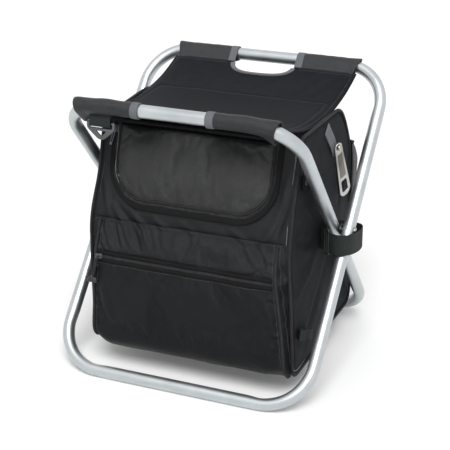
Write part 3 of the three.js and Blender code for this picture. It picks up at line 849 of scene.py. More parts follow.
def joined(name: str, pieces: Sequence[Piece]) -> Piece:
    """Joins mesh objects into one, with their finishes.

    Args:
        name: The result's name.
        pieces: The objects, which are used up.

    Returns:
        The joined object.
    """
    work, finishes = bmesh.new(), []
    for piece in pieces:
        mesh = piece.data
        shift = [finishes.index(m) if m in finishes else finishes.append(m) or len(finishes) - 1
                 for m in mesh.materials]
        first = len(work.faces)
        work.from_mesh(mesh)
        work.faces.ensure_lookup_table()
        for face in work.faces[first:]:
            face.material_index = shift[face.material_index]
        bpy.data.objects.remove(piece)
    mesh = bpy.data.meshes.new(name)
    work.to_mesh(mesh)
    work.free()
    for finish in finishes:
        mesh.materials.append(finish)
    return shown(name, mesh)


@dataclass
class Place:
    """A flat piece's own frame: across, up and out of its face."""

    origin: Triple
    across: Triple
    up: Triple

    @property
    def out(self) -> Array:
        """The direction out of its face."""
        return np.cross(self.across, self.up)

    def points(self, flat: Array, out: Array | float = 0.0) -> Array:
        """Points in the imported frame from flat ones."""
        a, u = np.array(self.across), np.array(self.up)
        out = np.broadcast_to(np.asarray(out, float), flat.shape[:-1])
        return np.array(self.origin) + flat[..., :1] * a + flat[..., 1:2] * u + out[..., None] * self.out

    def plate(self, name: str, outlines: Sequence[Array], thickness: float, bevel: float,
              finish: Finish, out: float = 0.0) -> Piece:
        """Makes a flat plate with eased edges.

        Args:
            name: The piece's name.
            outlines: The outer outline, then any holes.
            thickness: The plate's thickness.
            bevel: How far its edges are eased.
            finish: Its finish.
            out: The middle of its thickness, out of the frame's face.

        Returns:
            The plate as a mesh at the origin.
        """
        curve = bpy.data.curves.new(name, "CURVE")
        curve.dimensions, curve.fill_mode = "2D", "BOTH"
        curve.extrude, curve.bevel_depth = (thickness / 2 - bevel) * MM, bevel * MM
        curve.bevel_resolution, curve.offset = 2, -bevel * MM
        for outline in outlines:
            spline = curve.splines.new("POLY")
            spline.points.add(len(outline) - 1)
            places = np.c_[outline * MM, np.zeros(len(outline)), np.ones(len(outline))]
            spline.points.foreach_set("co", places.ravel())
            spline.use_cyclic_u = True
        holder = shown(name, curve)
        mesh = evaluated(holder)
        bpy.data.objects.remove(holder)
        work = bmesh.new()
        work.from_mesh(mesh)
        bmesh.ops.remove_doubles(work, verts=work.verts, dist=0.00001)
        bmesh.ops.recalc_face_normals(work, faces=work.faces)
        layer = work.loops.layers.uv.verify()
        for face in work.faces:
            for loop in face.loops:
                x, y, z = loop.vert.co
                loop[layer].uv = (y, x + z)
        work.to_mesh(mesh)
        work.free()
        flat = points_of(mesh) / MM
        move_points(mesh, self.points(flat, flat[:, 2] + out) * MM)
        mesh.materials.clear()
        mesh.materials.append(finish.material())
        mesh.polygons.foreach_set("material_index", [0] * len(mesh.polygons))
        mesh.shade_smooth()
        mesh.set_sharp_from_angle(angle=math.radians(40))
        return shown(name, mesh)


class Bead(Enum):
    """Small shapes that repeat along a line: length, width and height in millimetres, and step."""

    STITCH = ((2.7, 0.75, 0.6), 3.5)
    FINE_STITCH = ((2.3, 0.6, 0.5), 3.0)
    COIL = ((0.95, 3.0, 1.5), 1.5)
    RIB = ((1.0, 9.5, 0.8), 1.7)


class BeadRun:
    """Geometry Nodes that repeat one bead along lines laid on a surface."""

    sockets = {"Step": "NodeSocketFloat", "Size": "NodeSocketVector", "Finish": "NodeSocketMaterial"}

    def __init__(self, name: str, bead: Bead, finish: Finish) -> None:
        """Keeps the run's name, bead and finish, with no lines yet."""
        self.name, self.bead, self.finish = name, bead, finish
        self.lines: list[tuple[Array, Array]] = []

    def add(self, points: Array, up: Array) -> None:
        """Adds a line and the direction out of the surface along it."""
        self.lines.append((np.asarray(points, float), np.broadcast_to(up, np.shape(points))))

    @classmethod
    def tree(cls) -> bpy.types.NodeTree:
        """Builds the node tree once.

        Returns:
            The tree, whose inputs are the step, the bead's size and its finish.
        """
        found = bpy.data.node_groups.get("beads_on_a_line")
        if found:
            return found
        tree = bpy.data.node_groups.new("beads_on_a_line", "GeometryNodeTree")
        tree.interface.new_socket("Geometry", in_out="INPUT", socket_type="NodeSocketGeometry")
        for name, kind in cls.sockets.items():
            tree.interface.new_socket(name, in_out="INPUT", socket_type=kind)
        tree.interface.new_socket("Geometry", in_out="OUTPUT", socket_type="NodeSocketGeometry")
        kit = NodeKit(tree)
        entry = tree.nodes.new("NodeGroupInput")
        given = {socket.name: Sock(kit, socket) for socket in entry.outputs if socket.name}
        line = kit.node("GeometryNodeMeshToCurve", None, {0: given["Geometry"]})
        even = kit.node("GeometryNodeResampleCurve", {"mode": "LENGTH"},
                        {"Curve": line, "Length": given["Step"]})
        ball = kit.node("GeometryNodeMeshUVSphere", None, {"Segments": 8, "Rings": 5, "Radius": 0.5})
        shaped = kit.node("GeometryNodeTransform", None, {"Geometry": ball, "Scale": given["Size"]})
        smooth = kit.node("GeometryNodeSetShadeSmooth", None, {"Geometry": shaped})
        ahead = kit.node("FunctionNodeAlignRotationToVector", {"axis": "X"},
                         {"Vector": kit.node("GeometryNodeInputTangent")})
        out = kit.node("GeometryNodeInputNamedAttribute", {"data_type": "FLOAT_VECTOR"}, {"Name": "out"})
        facing = kit.node("FunctionNodeAlignRotationToVector", {"axis": "Z", "pivot_axis": "X"},
                          {"Rotation": ahead, "Vector": out})
        set_on = kit.node("GeometryNodeInstanceOnPoints", None,
                          {"Points": even, "Instance": smooth, "Rotation": facing})
        plain = kit.node("GeometryNodeRealizeInstances", None, {"Geometry": set_on})
        painted = kit.node("GeometryNodeSetMaterial", None, {"Geometry": plain, "Material": given["Finish"]})
        kit.node("NodeGroupOutput", None, {0: painted})
        return tree

    def make(self) -> Piece:
        """Runs the tree on all the lines.

        Returns:
            One plain mesh object at the origin.
        """
        mesh = bpy.data.meshes.new(self.name)
        points, edges = np.concatenate([p for p, _ in self.lines]), []
        first = 0
        for line, _ in self.lines:
            edges += [(k, k + 1) for k in range(first, first + len(line) - 1)]
            first += len(line)
        mesh.from_pydata((points * MM).tolist(), edges, [])
        out = mesh.attributes.new("out", "FLOAT_VECTOR", "POINT")
        out.data.foreach_set("vector", np.concatenate([u for _, u in self.lines]).astype(np.float32).ravel())
        piece = shown(self.name, mesh)
        nodes = piece.modifiers.new("beads", "NODES")
        nodes.node_group = self.tree()
        size, step = self.bead.value
        values = {"Step": step * MM, "Size": tuple(k * MM for k in size), "Finish": self.finish.material()}
        for item in nodes.node_group.interface.items_tree:
            if item.item_type == "SOCKET" and item.in_out == "INPUT" and item.name in values:
                nodes[item.identifier] = values[item.name]
        freeze(piece)
        piece.data.materials.clear()
        piece.data.materials.append(self.finish.material())
        return piece


class Probe:
    """Finds places on a finished piece's surface, from a start ahead of it; distances are in metres."""

    ahead, reach = 0.03, 0.08

    def __init__(self, piece: Piece) -> None:
        """Reads the piece's shown faces."""
        graph = bpy.context.evaluated_depsgraph_get()
        mesh = piece.evaluated_get(graph).to_mesh()
        points = [v.co.copy() for v in mesh.vertices]
        self.tree = BVHTree.FromPolygons(points, [list(p.vertices) for p in mesh.polygons])

    def lay(self, points: Array, toward: Sequence[float], lift: float = 0.0) -> tuple[Array, Array]:
        """Drops points on to the surface.

        Args:
            points: Points near the surface.
            toward: The direction to look in, into the surface.
            lift: How far above the surface to stay.

        Returns:
            The points on the surface and the directions out of it.
        """
        way = Vector(toward).normalized()
        laid, outs = [], []
        for p in np.asarray(points, float):
            start = Vector(p * MM) - way * self.ahead
            hit, normal, _, _ = self.tree.ray_cast(start, way, self.reach)
            if hit is None:
                hit, normal = Vector(p * MM), -way
            if normal.dot(way) > 0:
                normal = -normal
            laid.append(np.array(hit + normal * lift * MM) / MM)
            outs.append(np.array(normal))
        return np.array(laid), np.array(outs)


@dataclass
class TubeLoop:
    """One closed loop of bent tube."""

    name: str
    half: float
    toward: int
    steps: int = 420
    sides: int = 40
    oval: float = 0.05
    dent: float = 0.9

    def centreline(self) -> Array:
        """Draws the loop in its own plane.

        Returns:
            Even points across and up the leg, from the middle of the floor bar.
        """
        b, turn = BONES, np.linspace(0, np.pi / 2, 24)
        x, top, low = self.half - b.bend_r, b.leg_top - b.bend_r, b.bend_r - b.leg_bottom
        arcs = [(x, low, -np.pi / 2), (x, top, 0), (-x, top, np.pi / 2), (-x, low, np.pi)]
        bends = [arc(cx, cy, b.bend_r, a + turn) for cx, cy, a in arcs]
        return resample(np.concatenate([[[0, -b.leg_bottom]], *bends]), self.steps, True)

    def build(self) -> Piece:
        """Sweeps the tube, oval in its bends and drawn in at their ends.

        Returns:
            The tube.
        """
        line = self.centreline()
        out = out_of(line)
        step = np.linalg.norm(line - np.roll(line, 1, 0), axis=1).mean()
        turn = np.linalg.norm(np.roll(out, -1, 0) - np.roll(out, 1, 0), axis=1) / (2 * step)
        bent = np.clip(turn * BONES.bend_r, 0, 1)
        kernel = np.hanning(9) / np.hanning(9).sum()
        bent = np.convolve(np.concatenate([bent[-8:], bent, bent[:8]]), kernel, "same")[8:-8]
        ends = np.abs(np.roll(bent, -2) - np.roll(bent, 2))
        ends = ends / max(ends.max(), 1e-9)
        leg = np.array([0, self.toward * math.sin(BONES.lean), math.cos(BONES.lean)])
        across = np.array(RIGHT)
        normal = np.cross(across, leg)
        centre = np.array([0, 0, BONES.pivot_z]) + line[:, :1] * across + line[:, 1:] * leg
        outward = out[:, :1] * across + out[:, 1:] * leg
        angle = np.linspace(0, 2 * np.pi, self.sides, endpoint=False)
        inner = np.clip(-np.cos(angle), 0, 1) ** 3
        flat = BONES.tube_r * (1 - self.oval * bent[:, None]) - self.dent * ends[:, None] * inner
        tall = BONES.tube_r * (1 + self.oval * 0.5 * bent[:, None])
        rings = (centre[:, None] + (flat * np.cos(angle))[..., None] * outward[:, None]
                 + (tall * np.sin(angle))[..., None] * normal)
        return patch(f"{self.name}_tube", rings, TUBE_SILVER, wrap=(True, True))

    def dress(self) -> None:
        """Builds the tube and puts it on its body."""
        body = f"{self.name}_frame"
        settle(self.build(), "tube", f"{body}_tube", body=body, follow=Follow.RIGID)


@dataclass
class PivotHardware:
    """Rivets and washers where the loops cross."""

    head_r: float = 6.0
    head_t: float = 2.5
    shank_r: float = 3.0
    washer_r: float = 8.0

    def dress(self) -> None:
        """Builds a domed rivet and a washer on each side."""
        inside, outside = BONES.inner_half - BONES.tube_r, BONES.outer_half + BONES.tube_r
        middle = (BONES.inner_half + BONES.outer_half) / 2
        dome = [(self.head_r * math.cos(a), self.head_t * math.sin(a)) for a in np.linspace(0, np.pi / 2, 8)]
        right = [(r, outside + 0.3 + h) for r, h in dome]
        left = [(r, inside - 0.3 - h) for r, h in dome[::-1]]
        rivet = np.array([*left, (self.head_r, inside - 0.2), (self.shank_r, inside),
                          (self.shank_r, outside), (self.head_r, outside + 0.2), *right])
        ring = np.array([(self.shank_r + 0.4, -1.7), (self.washer_r - 0.5, -1.7), (self.washer_r, -1.2),
                         (self.washer_r, 1.2), (self.washer_r - 0.5, 1.7), (self.shank_r + 0.4, 1.7)])
        for word, side in SIDES:
            rows = self.turned(rivet * (1, side))
            head = patch(f"pivot_rivet_{word}_head", rows, STEEL, wrap=(False, True))
            settle(head, "steel", f"pivot_rivet_{word}", follow=Follow.RIGID)
            rows = self.turned(np.concatenate([ring, ring[:1]]) * (1, side) + (0, side * middle))
            washer = patch(f"pivot_washer_{word}_ring", rows, PLASTIC, wrap=(False, True))
            settle(washer, "plastic", f"pivot_washer_{word}", follow=Follow.RIGID)

    @staticmethod
    def turned(profile: Array) -> Array:
        """Rings about the pivot's axis, from a profile's radii and places along it."""
        ring = round_section(1.0, 32)
        r, x = profile[:, :1], profile[:, 1:]
        return coords(x, r * ring[:, 0], BONES.pivot_z + r * ring[:, 1])


# Pull lines of the sling. A fold is a line from one place in a panel to another, a width and a height.
SLING_FOLDS = (
    (-60, 70, -85, 140, 11, 0.9), (20, 72, 40, 130, 14, -0.8), (96, 66, 122, 140, 10, 0.9),
    (-128, 66, -140, 130, 9, 0.8), (-110, -40, -30, -70, 16, 0.7), (120, -20, 60, -120, 15, 0.8),
)


@dataclass
class SlingSeat:
    """The sling, its sleeves on the bars, its hand holes and their grey tape.

    The seam is measured from a bar's centre and a hand hole from the seam. The rest is from the middle,
    apart from the ring, which is the width of an end tape, and the slack round a bar.
    """

    half: float = 153.0
    seam: float = 20.0
    grip: float = 50.0
    ring: float = 12.6
    hole: float = 27.0
    loose: float = 1.7
    stitch_x: float = 137.0
    stitch_y: float = 62.0
    stitch_front: float = -150.0
    edge_run: float = 148.0
    around: int = 72
    waves: Ripples = field(default_factory=lambda: Ripples(3, 90))

    def reach(self, x: Array, toward: int) -> Array:
        """The middle to a sleeve's seam, which the bend pulls in towards the seat's corners."""
        return BONES.bar_y - self.seam - 0.55 * BONES.drop(x, toward) * math.sin(BONES.lean)

    def edge(self, x: Array, toward: int) -> Array:
        """The middle to the sling's edge, which curves in round the hand hole."""
        mouth = self.grip + 1.0
        curve = np.sqrt(np.clip(1 - (np.abs(x) / mouth) ** 3.4, 0, 1))
        return self.reach(x, toward) - self.hole * curve

    def surface(self, x: Array, y: Array) -> Array:
        """Points on the sling's middle, with its sag, edge curl and slack.

        Args:
            x: Places across.
            y: Places from front to back.

        Returns:
            The points.
        """
        held = np.clip(np.abs(y) / (BONES.bar_y - self.seam), 0, 1)
        curl = 5.0 * ease(self.stitch_x + 2, self.half + 4, np.abs(x)) * (1 - held**2)
        slack = self.waves(x, y) * 0.9 * (1 - held**4)
        pulled = folded(SLING_FOLDS, x, y)
        beside = np.hypot(np.abs(np.abs(x) - self.stitch_x), np.clip(y - self.stitch_y, 0, None))
        behind = np.hypot(y - self.stitch_y, np.clip(np.abs(x) - self.stitch_x, 0, None))
        sewn = 1.3 * np.exp(-((np.minimum(beside, behind) / 2.6) ** 2))
        z = BONES.sling(y) - curl + slack + pulled - sewn
        return coords(x, y, z)

    def panel(self) -> Piece:
        """Builds the sling between the two seams.

        Returns:
            The sheet.
        """
        mouth = self.grip + 1.0
        bowl = mouth * np.sin(np.linspace(0, np.pi / 2, 26))
        right = np.concatenate([bowl, np.linspace(mouth, self.half, 46)[1:]])
        x = np.concatenate([-right[:0:-1], right])
        t = np.linspace(0, 1, 150)
        front, rear = -self.edge(x, -1), self.edge(x, 1)
        y = front[:, None] + (rear - front)[:, None] * t
        points = self.surface(x[:, None] + 0 * y, y)
        sheet = patch("sling_seat", points, SEAT_CLOTH, flat=points[..., :2], weld=0)
        thicken(sheet, 1.6, offset=0.0)
        settle(sheet, "seat_cloth", "seat_panel", follow=Follow.SLUNG)
        beside_holes = y[len(x) // 2 + 40]
        run = travel(coords(beside_holes, BONES.sling(beside_holes)))[-1]
        area = np.trapz(rear - front, x) * run / (2 * (BONES.bar_y - self.seam))
        return sheet

    def section(self, x: float, toward: int, grow: float) -> Array:
        """A sleeve's outline at a distance from the middle: round the bar, with a tail to its seam.

        Args:
            x: The distance from the middle.
            toward: -1 at the front bar, 1 at the rear one.
            grow: How far outside the sleeve's own outline.

        Returns:
            Points in (y, z), from the tail's tip round.
        """
        leg = np.array([toward * math.sin(BONES.lean), math.cos(BONES.lean)])
        bar = np.array([toward * BONES.bar_y, BONES.bar_z])
        drop, turn = float(BONES.drop(x, toward)), float(BONES.turned(x, toward))
        radius = BONES.tube_r + self.loose + grow
        longer = BONES.tube_r * (1 / math.cos(turn) - 1)
        centres = [bar - leg * (drop + longer), bar - leg * (drop - longer), bar - leg * drop * 0.3]
        ring = round_section(radius, 48)
        y = toward * float(self.reach(np.array(x), toward))
        tail = self.surface(np.array(x), np.array(y))[1:]
        tips = tail + np.array([[0, 1.0 + grow], [0, -1.2 - grow], [-toward * (0.8 + grow), 0]])
        cloud = np.concatenate([c + ring for c in centres] + [tips])
        outline = cloud[convex_hull_2d(cloud.tolist())]
        start = int(np.argmax(-toward * outline[:, 0]))
        return resample(np.roll(outline, -start, 0), self.around, True)

    def sleeves(self, toward: int) -> None:
        """Builds the sleeves and end tapes on one bar.

        Args:
            toward: -1 at the front bar, 1 at the rear one.
        """
        name = "front" if toward < 0 else "rear"
        rng = Ripples(11 + toward, 26)
        for word, side in SIDES:
            xs = np.concatenate([np.linspace(self.grip + 2.5, self.grip + self.ring, 5),
                                 np.linspace(self.grip + self.ring + 2, self.half + 1, 44)])
            rows = []
            for x in xs:
                flare = 0.9 * ease(self.half - 14, self.half, x) - 0.5 * ease(self.grip + 22, self.grip, x)
                ring = self.section(x, toward, float(flare))
                centre = ring.mean(0)
                turn = np.arctan2(ring[:, 1] - centre[1], ring[:, 0] - centre[0])
                swell = rng(x + 0 * turn, 14 * turn) * 0.55 * ease(self.grip + 14, self.grip + 34, x)
                ring = centre + (ring - centre) * (1 + swell / 14)[:, None]
                low = (ring[:, 1].max() - ring[:, 1]) / np.ptp(ring[:, 1])
                rows.append(np.c_[side * (x - 11 * low * ease(self.half - 34, self.half, x)), ring])
            # The sleeve's cloth is a lighter copy of the seat's: painted light on cloth that faces the light.
            sleeve = patch(f"{name}_sleeve_{word}_cloth", np.array(rows), PAINTED_LIT_SLEEVE_CLOTH, wrap=(False, True))
            thicken(sleeve, 1.1)
            settle(sleeve, "seat_cloth", f"{name}_sleeve_{word}", body=f"{name}_frame", follow=Follow.RIGID)
            across = np.linspace(0, self.ring, 15)
            bulge = 1.1 * np.sqrt(np.clip(1 - (2 * across / self.ring - 1) ** 8, 0, 1)) - 0.1
            rings = [self.section(self.grip + a, toward, g - 0.5) for a, g in zip(across, bulge)]
            rows = [np.c_[np.full(self.around, side * (self.grip + a)), r] for a, r in zip(across, rings)]
            rows = np.array(rows).transpose(1, 0, 2)
            tape = patch(f"{name}_end_tape_{word}", rows, GREY_TAPE, wrap=(True, False))
            thicken(tape, 1.0)
            settle(tape, "grey_tape", f"{name}_binding_{word}", body=f"{name}_frame", follow=Follow.RIGID)

    def hole_tape(self, toward: int) -> None:
        """Binds the edge of one hand hole with tape folded over it.

        Args:
            toward: -1 at the front bar, 1 at the rear one.
        """
        name = "front" if toward < 0 else "rear"
        x = (self.grip + 0.6) * np.sin(np.linspace(-np.pi / 2, np.pi / 2, 81))
        line = resample(coords(x, toward * self.edge(x, toward)), 90)
        path = self.surface(line[:, 0], line[:, 1]) + (0, -toward * 2.0, 0)
        tape = strand(f"{name}_hole_tape", GREY_TAPE, path, flat_section(7.5, 3.6), UP)
        settle(tape, "grey_tape", f"{name}_hole_binding", follow=Follow.SLUNG)

    def stitching(self, sheet: Piece) -> None:
        """Sews the seat down to the bag and closes the sleeves.

        Args:
            sheet: The sling.
        """
        probe = Probe(sheet)
        run = BeadRun("seat_stitching", Bead.STITCH, THREAD)
        x, y, front = self.stitch_x, self.stitch_y, self.stitch_front
        lines = [[(-x, front), (-x, y), (x, y), (x, front)]]
        a = np.linspace(self.grip + self.ring, self.half - 3, 30)
        for toward, side, inset in product((-1, 1), (-1, 1), (2.5, 7.0)):
            lines.append(coords(side * a, toward * (self.reach(a, toward) - inset)))
        edge = np.linspace(-1, 1, 60)
        for side in (-1, 1):
            lines.append(coords(side * (self.half - 6), edge * self.edge_run))
        for line in lines:
            flat = resample(np.array(line, float), max(20, int(travel(line)[-1] / 4)))
            run.add(*probe.lay(np.c_[flat, BONES.sling(flat[:, 1])], (0, 0, -1), 0.1))
        settle(run.make(), "seat_cloth", follow=Follow.SLUNG)

    def dress(self) -> None:
        """Builds the seat's pieces in order."""
        sheet = self.panel()
        for toward in (-1, 1):
            self.sleeves(toward)
            self.hole_tape(toward)
        self.stitching(sheet)


# Folds in the plain strip under the flap and beside it, across and up the leaning panel.
FRONT_FOLDS = (
    (-128, 24, -100, -10, 5, 4.4), (-114, 18, -86, -8, 4, -3.4), (-98, 20, -64, -12, 5, 4.4),
    (-146, 60, -128, 0, 6, 3.0), (-60, 14, -30, -10, 5, 2.6), (-20, 12, 16, -8, 6, 1.6),
    (60, 12, 96, -8, 6, 2.0), (132, 26, 112, -12, 7, 3.0), (150, 66, 134, 6, 6, -3.0),
    (146, 110, 138, 50, 6, 2.2),
)
# Folds in a side panel, back and up.
SIDE_FOLDS = (
    (-118, 236, -40, 206, 9, -3.4), (-122, 150, -30, 200, 11, 3.0), (-100, 70, 20, 170, 13, -3.0),
    (40, 60, 110, 190, 12, 2.6), (-110, 290, -60, 250, 7, 2.4), (60, 230, 120, 300, 9, -2.6),
    (-60, 345, 10, 300, 10, 1.8), (70, 200, 130, 120, 10, 2.8), (-104, 306, 70, 303, 4, -2.6),
    (-30, 60, 60, 110, 11, 2.4),
)


@dataclass
class Bag:
    """The insulated bag's shell and its shared measures.

    The front stands upright to the knee and leans back above it, and the back turns in at the hip. The flap's
    low and high edges are measured up the leaning panel from the knee.
    """

    half: float = 158.0
    base: float = 38.0
    top: float = 382.4
    front: float = -138.0
    knee: float = 240.0
    lean: float = math.radians(16.3)
    back: float = 150.0
    hip: Pair = (118.0, 330.0)
    back_top: float = 70.0
    flap_half: float = 122.0
    flap_low: float = 31.0
    flap_high: float = 140.0
    flap_corner: float = 50.0
    radii: tuple[float, ...] = (22, 28, 40, 22, 7, 34)
    side_middle: Pair = (5.0, 205.0)
    wall: float = 5.0
    bunch: float = 1.35
    rows: int = 300
    cols: int = 96
    rings: int = 44

    @property
    def face(self) -> Place:
        """The leaning panel's frame, from the middle of the knee."""
        up = (0.0, math.sin(self.lean), math.cos(self.lean))
        return Place((0.0, self.front, self.knee), RIGHT, up)

    def front_at(self, z: float) -> float:
        """The front's place at a height."""
        return self.front + max(z - self.knee, 0) * math.tan(self.lean)

    def outline(self) -> Array:
        """The bag from the side, in (y, z), from the front lower corner round."""
        corners = [(self.front, self.base), (self.back, self.base), self.hip, (self.back_top, self.top),
                   (self.front_at(self.top), self.top), (self.front, self.knee)]
        return resample(rounded(corners, self.radii), self.rows, True)

    def flap_line(self, grow: float, count: int = 160) -> Array:
        """A U round the flap in the leaning panel, from the top left down and round to the top right.

        Args:
            grow: How far outside the flap's edge.
            count: Points along it.

        Returns:
            Points across and up the panel.
        """
        half, low, r = self.flap_half + grow, self.flap_low - grow, self.flap_corner + grow
        turn = np.linspace(np.pi, 1.5 * np.pi, 20)
        left = np.concatenate([[[-half, self.flap_high]], arc(-half + r, low + r, r, turn)])
        return resample(np.concatenate([left, left[::-1] * (-1, 1)]), count)

    def in_flap(self, points: Array, grow: float) -> Array:
        """Whether points of the leaning panel lie inside the flap's outline.

        Args:
            points: Points across and up the panel.
            grow: How far outside the flap's edge.

        Returns:
            True inside.
        """
        half, low, r = self.flap_half + grow, self.flap_low - grow, self.flap_corner + grow
        x, s = np.abs(points[..., 0]), points[..., 1]
        corner = np.hypot(np.clip(x - half + r, 0, None), np.clip(low + r - s, 0, None)) < r
        return (x < half) & (s > low) & (s < self.flap_high + grow) & corner

    @staticmethod
    def shaped(points: Array) -> Array:
        """Draws in the soft upper left corner, rounds the lower left one and spreads the lower right one.

        Args:
            points: Points of the bag as sewn.

        Returns:
            The same points as the bag stands.
        """
        x, y, z = np.moveaxis(points, -1, 0)
        inward = 7.5 * ease(212, 320, z) * ease(60, 150, -x) * ease(60, -60, y)
        spread = 8.0 * ease(250, 50, z) * ease(40, 158, x) * ease(70, -70, y)
        ahead = ease(-132, -148, y)
        corner = 17 * ease(116, 158, -x) ** 2 + 7 * ease(116, 146, x) * ahead
        corner = corner - 5 * ease(146, 158, x) * (1 - ahead)
        lift = corner * ease(100, 38, z) * ease(20, -120, y)
        return coords(x + inward + spread, y, z + lift)

    def slump(self, x: Array, y: Array, z: Array, out: Array) -> Array:
        """How far the shell's skin stands out from its outline: fullness, sag and folds.

        Args:
            x: Places across.
            y: Places from front to back.
            z: Heights.
            out: The outline's outward directions in (y, z).

        Returns:
            Distances outwards.
        """
        mid = np.clip(1 - (x / self.half) ** 2, 0, 1) ** 0.7
        low, back = ease(0.6, 1.0, -out[..., 1]), ease(0.5, 0.95, out[..., 0])
        front = ease(0.7, 1.0, -out[..., 0])
        full = 7.0 * back * mid * np.sin(np.pi * np.clip((z - 40) / 330, 0, 1))
        sag = 5.0 * low * mid * ease(self.front + 14, self.front + 90, y) + full
        s = (z - self.knee) / math.cos(self.lean)
        folds = folded(FRONT_FOLDS, x, s) * front
        drape = Ripples(21, 75)(x, z) * (0.9 * front + 1.6 * back + 1.0 * low)
        calm = 1 - 0.85 * self.in_flap(coords(x, s), 16.0) * front
        return sag + (folds + drape) * calm

    def side(self, y: Array, z: Array, rim: Array) -> Array:
        """How far a side panel stands out.

        Args:
            y: Places from front to back.
            z: Heights.
            rim: Share of the way from the panel's rim to its middle.

        Returns:
            Distances outwards from the panel's flat place.
        """
        soft = ease(0, 0.16, rim)
        folds = folded(SIDE_FOLDS, y, z)
        full = 2.4 * ease(0, 0.5, rim) + Ripples(33, 70)(y, z) * 0.9
        fitting = np.exp(-(((y - 30) / 60) ** 2 + ((z - 330) / 60) ** 2))
        return soft * (full + folds) * (1 - fitting) - 3.4 * (1 - ease(0, 0.05, rim))

    def shell(self) -> Piece:
        """Lofts the shell round its outline, closes its sides and opens it behind the flap.

        Returns:
            The shell.
        """
        line = self.outline()
        out = out_of(line)
        x = (self.half - 1.2) * np.sin(np.linspace(-1, 1, self.cols) * self.bunch) / math.sin(self.bunch)
        xg, yg = np.meshgrid(x, line[:, 0])
        zg = np.broadcast_to(line[:, 1:], xg.shape)
        away = np.broadcast_to(out[:, None], (*xg.shape, 2))
        grown = self.slump(xg, yg, zg, away)
        points = coords(xg, yg + away[..., 0] * grown, zg + away[..., 1] * grown)
        s = (points[..., 2] - self.knee) / math.cos(self.lean)
        points = self.shaped(points)
        inside = self.in_flap(coords(xg, s), 0.4) & (away[..., 0] < -0.8)
        hole = cells(np.concatenate([inside, inside[:1]])).all(axis=2)
        build = MeshBuild()
        build.grid(points, (True, False), keep=~hole)
        middle = np.array(self.side_middle)
        rim = np.linspace(0, 1, self.rings + 1)[:-1] ** 1.25
        yz = line + (middle - line) * rim[:, None, None]
        bulge = self.side(yz[..., 0], yz[..., 1], np.broadcast_to(rim[:, None], yz.shape[:2]))
        tip = self.side(middle[:1], middle[1:], np.ones(1))[0]
        for column, sign in ((0, -1), (-1, 1)):
            side = self.shaped(np.concatenate([sign * (self.half + bulge)[..., None], yz], axis=-1))
            side[0] = points[:, column]
            number = build.grid(side, (False, True), 2, flat=np.concatenate([yz, yz[:, :1]], axis=1))
            build.fan(number[-1], (sign * (self.half + tip), *middle), 2)
        shell = build.make("bag_shell", BAG_CLOTH, LINER, SIDE_CLOTH, LINER, sharp=60)
        self._trim_hole(shell)
        thicken(shell, self.wall, inner=1)
        return shell

    def _trim_hole(self, shell: Piece) -> None:
        """Draws the ragged rim of the shell's opening to the flap's outline.

        Args:
            shell: The shell, whose mesh is changed.
        """
        edge = np.concatenate([self.flap_line(0.4, 400), [[0, self.flap_high + 0.4]]])
        rim = self.face.points(resample(edge, 700, True))
        work = bmesh.new()
        work.from_mesh(shell.data)
        for vert in work.verts:
            if vert.is_boundary:
                offs = np.linalg.norm(rim - np.array(vert.co) / MM, axis=1)
                vert.co = Vector(rim[int(np.argmin(offs))] * MM)
        work.to_mesh(shell.data)
        work.free()

    def piping(self) -> None:
        """Runs a cord of piping round each side panel."""
        line = self.outline()
        out = out_of(line)
        for word, side in SIDES:
            x = np.full(len(line), side * (self.half - 1.6))
            grown = self.slump(x, line[:, 0], line[:, 1], out) + 1.5
            path = self.shaped(np.c_[x, line + out * grown[:, None]])
            cord = strand(f"bag_piping_{word}", PIPING, path, round_section(2.3), (side, 0, 0), True)
            settle(cord, "webbing", f"piping_{word}")

    def dress(self) -> None:
        """Builds the shell and its piping."""
        settle(self.shell(), "bag_cloth", "bag_front_lower", "bag_front_upper",
               "bag_back", "bag_base", "bag_top", "bag_side_left", "bag_side_right")
        self.piping()


@dataclass
class PressureRun:
    """A short run of cloth under pressure, with some points held."""

    pressure: float = 4.0
    frames: int = 20
    cap: float = 5.0
    grow: float = 0.0
    quality: int = 6
    stretch: float = 20.0
    bending: float = 0.6

    def apply(self, piece: Piece, held: Array) -> None:
        """Runs the cloth and keeps its result in the mesh.

        Args:
            piece: The piece, with no modifiers.
            held: How firmly each point is held, 0 to 1.
        """
        scene = bpy.context.scene
        rest = points_of(piece.data)
        group = piece.vertex_groups.new(name="held")
        for index in np.nonzero(held > 0.01)[0]:
            group.add([int(index)], float(held[index]), "REPLACE")
        cloth = piece.modifiers.new("pressure", "CLOTH")
        settings = cloth.settings
        settings.use_pressure, settings.uniform_pressure_force = True, self.pressure
        settings.vertex_group_mass = "held"
        settings.effector_weights.gravity = 0
        settings.shrink_min = settings.shrink_max = -self.grow
        settings.quality = self.quality
        settings.tension_stiffness = settings.compression_stiffness = self.stretch
        settings.bending_stiffness = self.bending
        cloth.collision_settings.use_collision = False
        cloth.point_cache.frame_end = self.frames
        for step in range(1, self.frames + 1):
            scene.frame_set(step)
        graph = bpy.context.evaluated_depsgraph_get()
        shift = points_of(piece.evaluated_get(graph).to_mesh()) - rest
        far = np.linalg.norm(shift, axis=1, keepdims=True)
        shift *= np.minimum(1, self.cap * MM / np.maximum(far, 1e-9))
        piece.modifiers.clear()
        piece.vertex_groups.clear()
        move_points(piece.data, rest + shift)
        scene.frame_set(1)


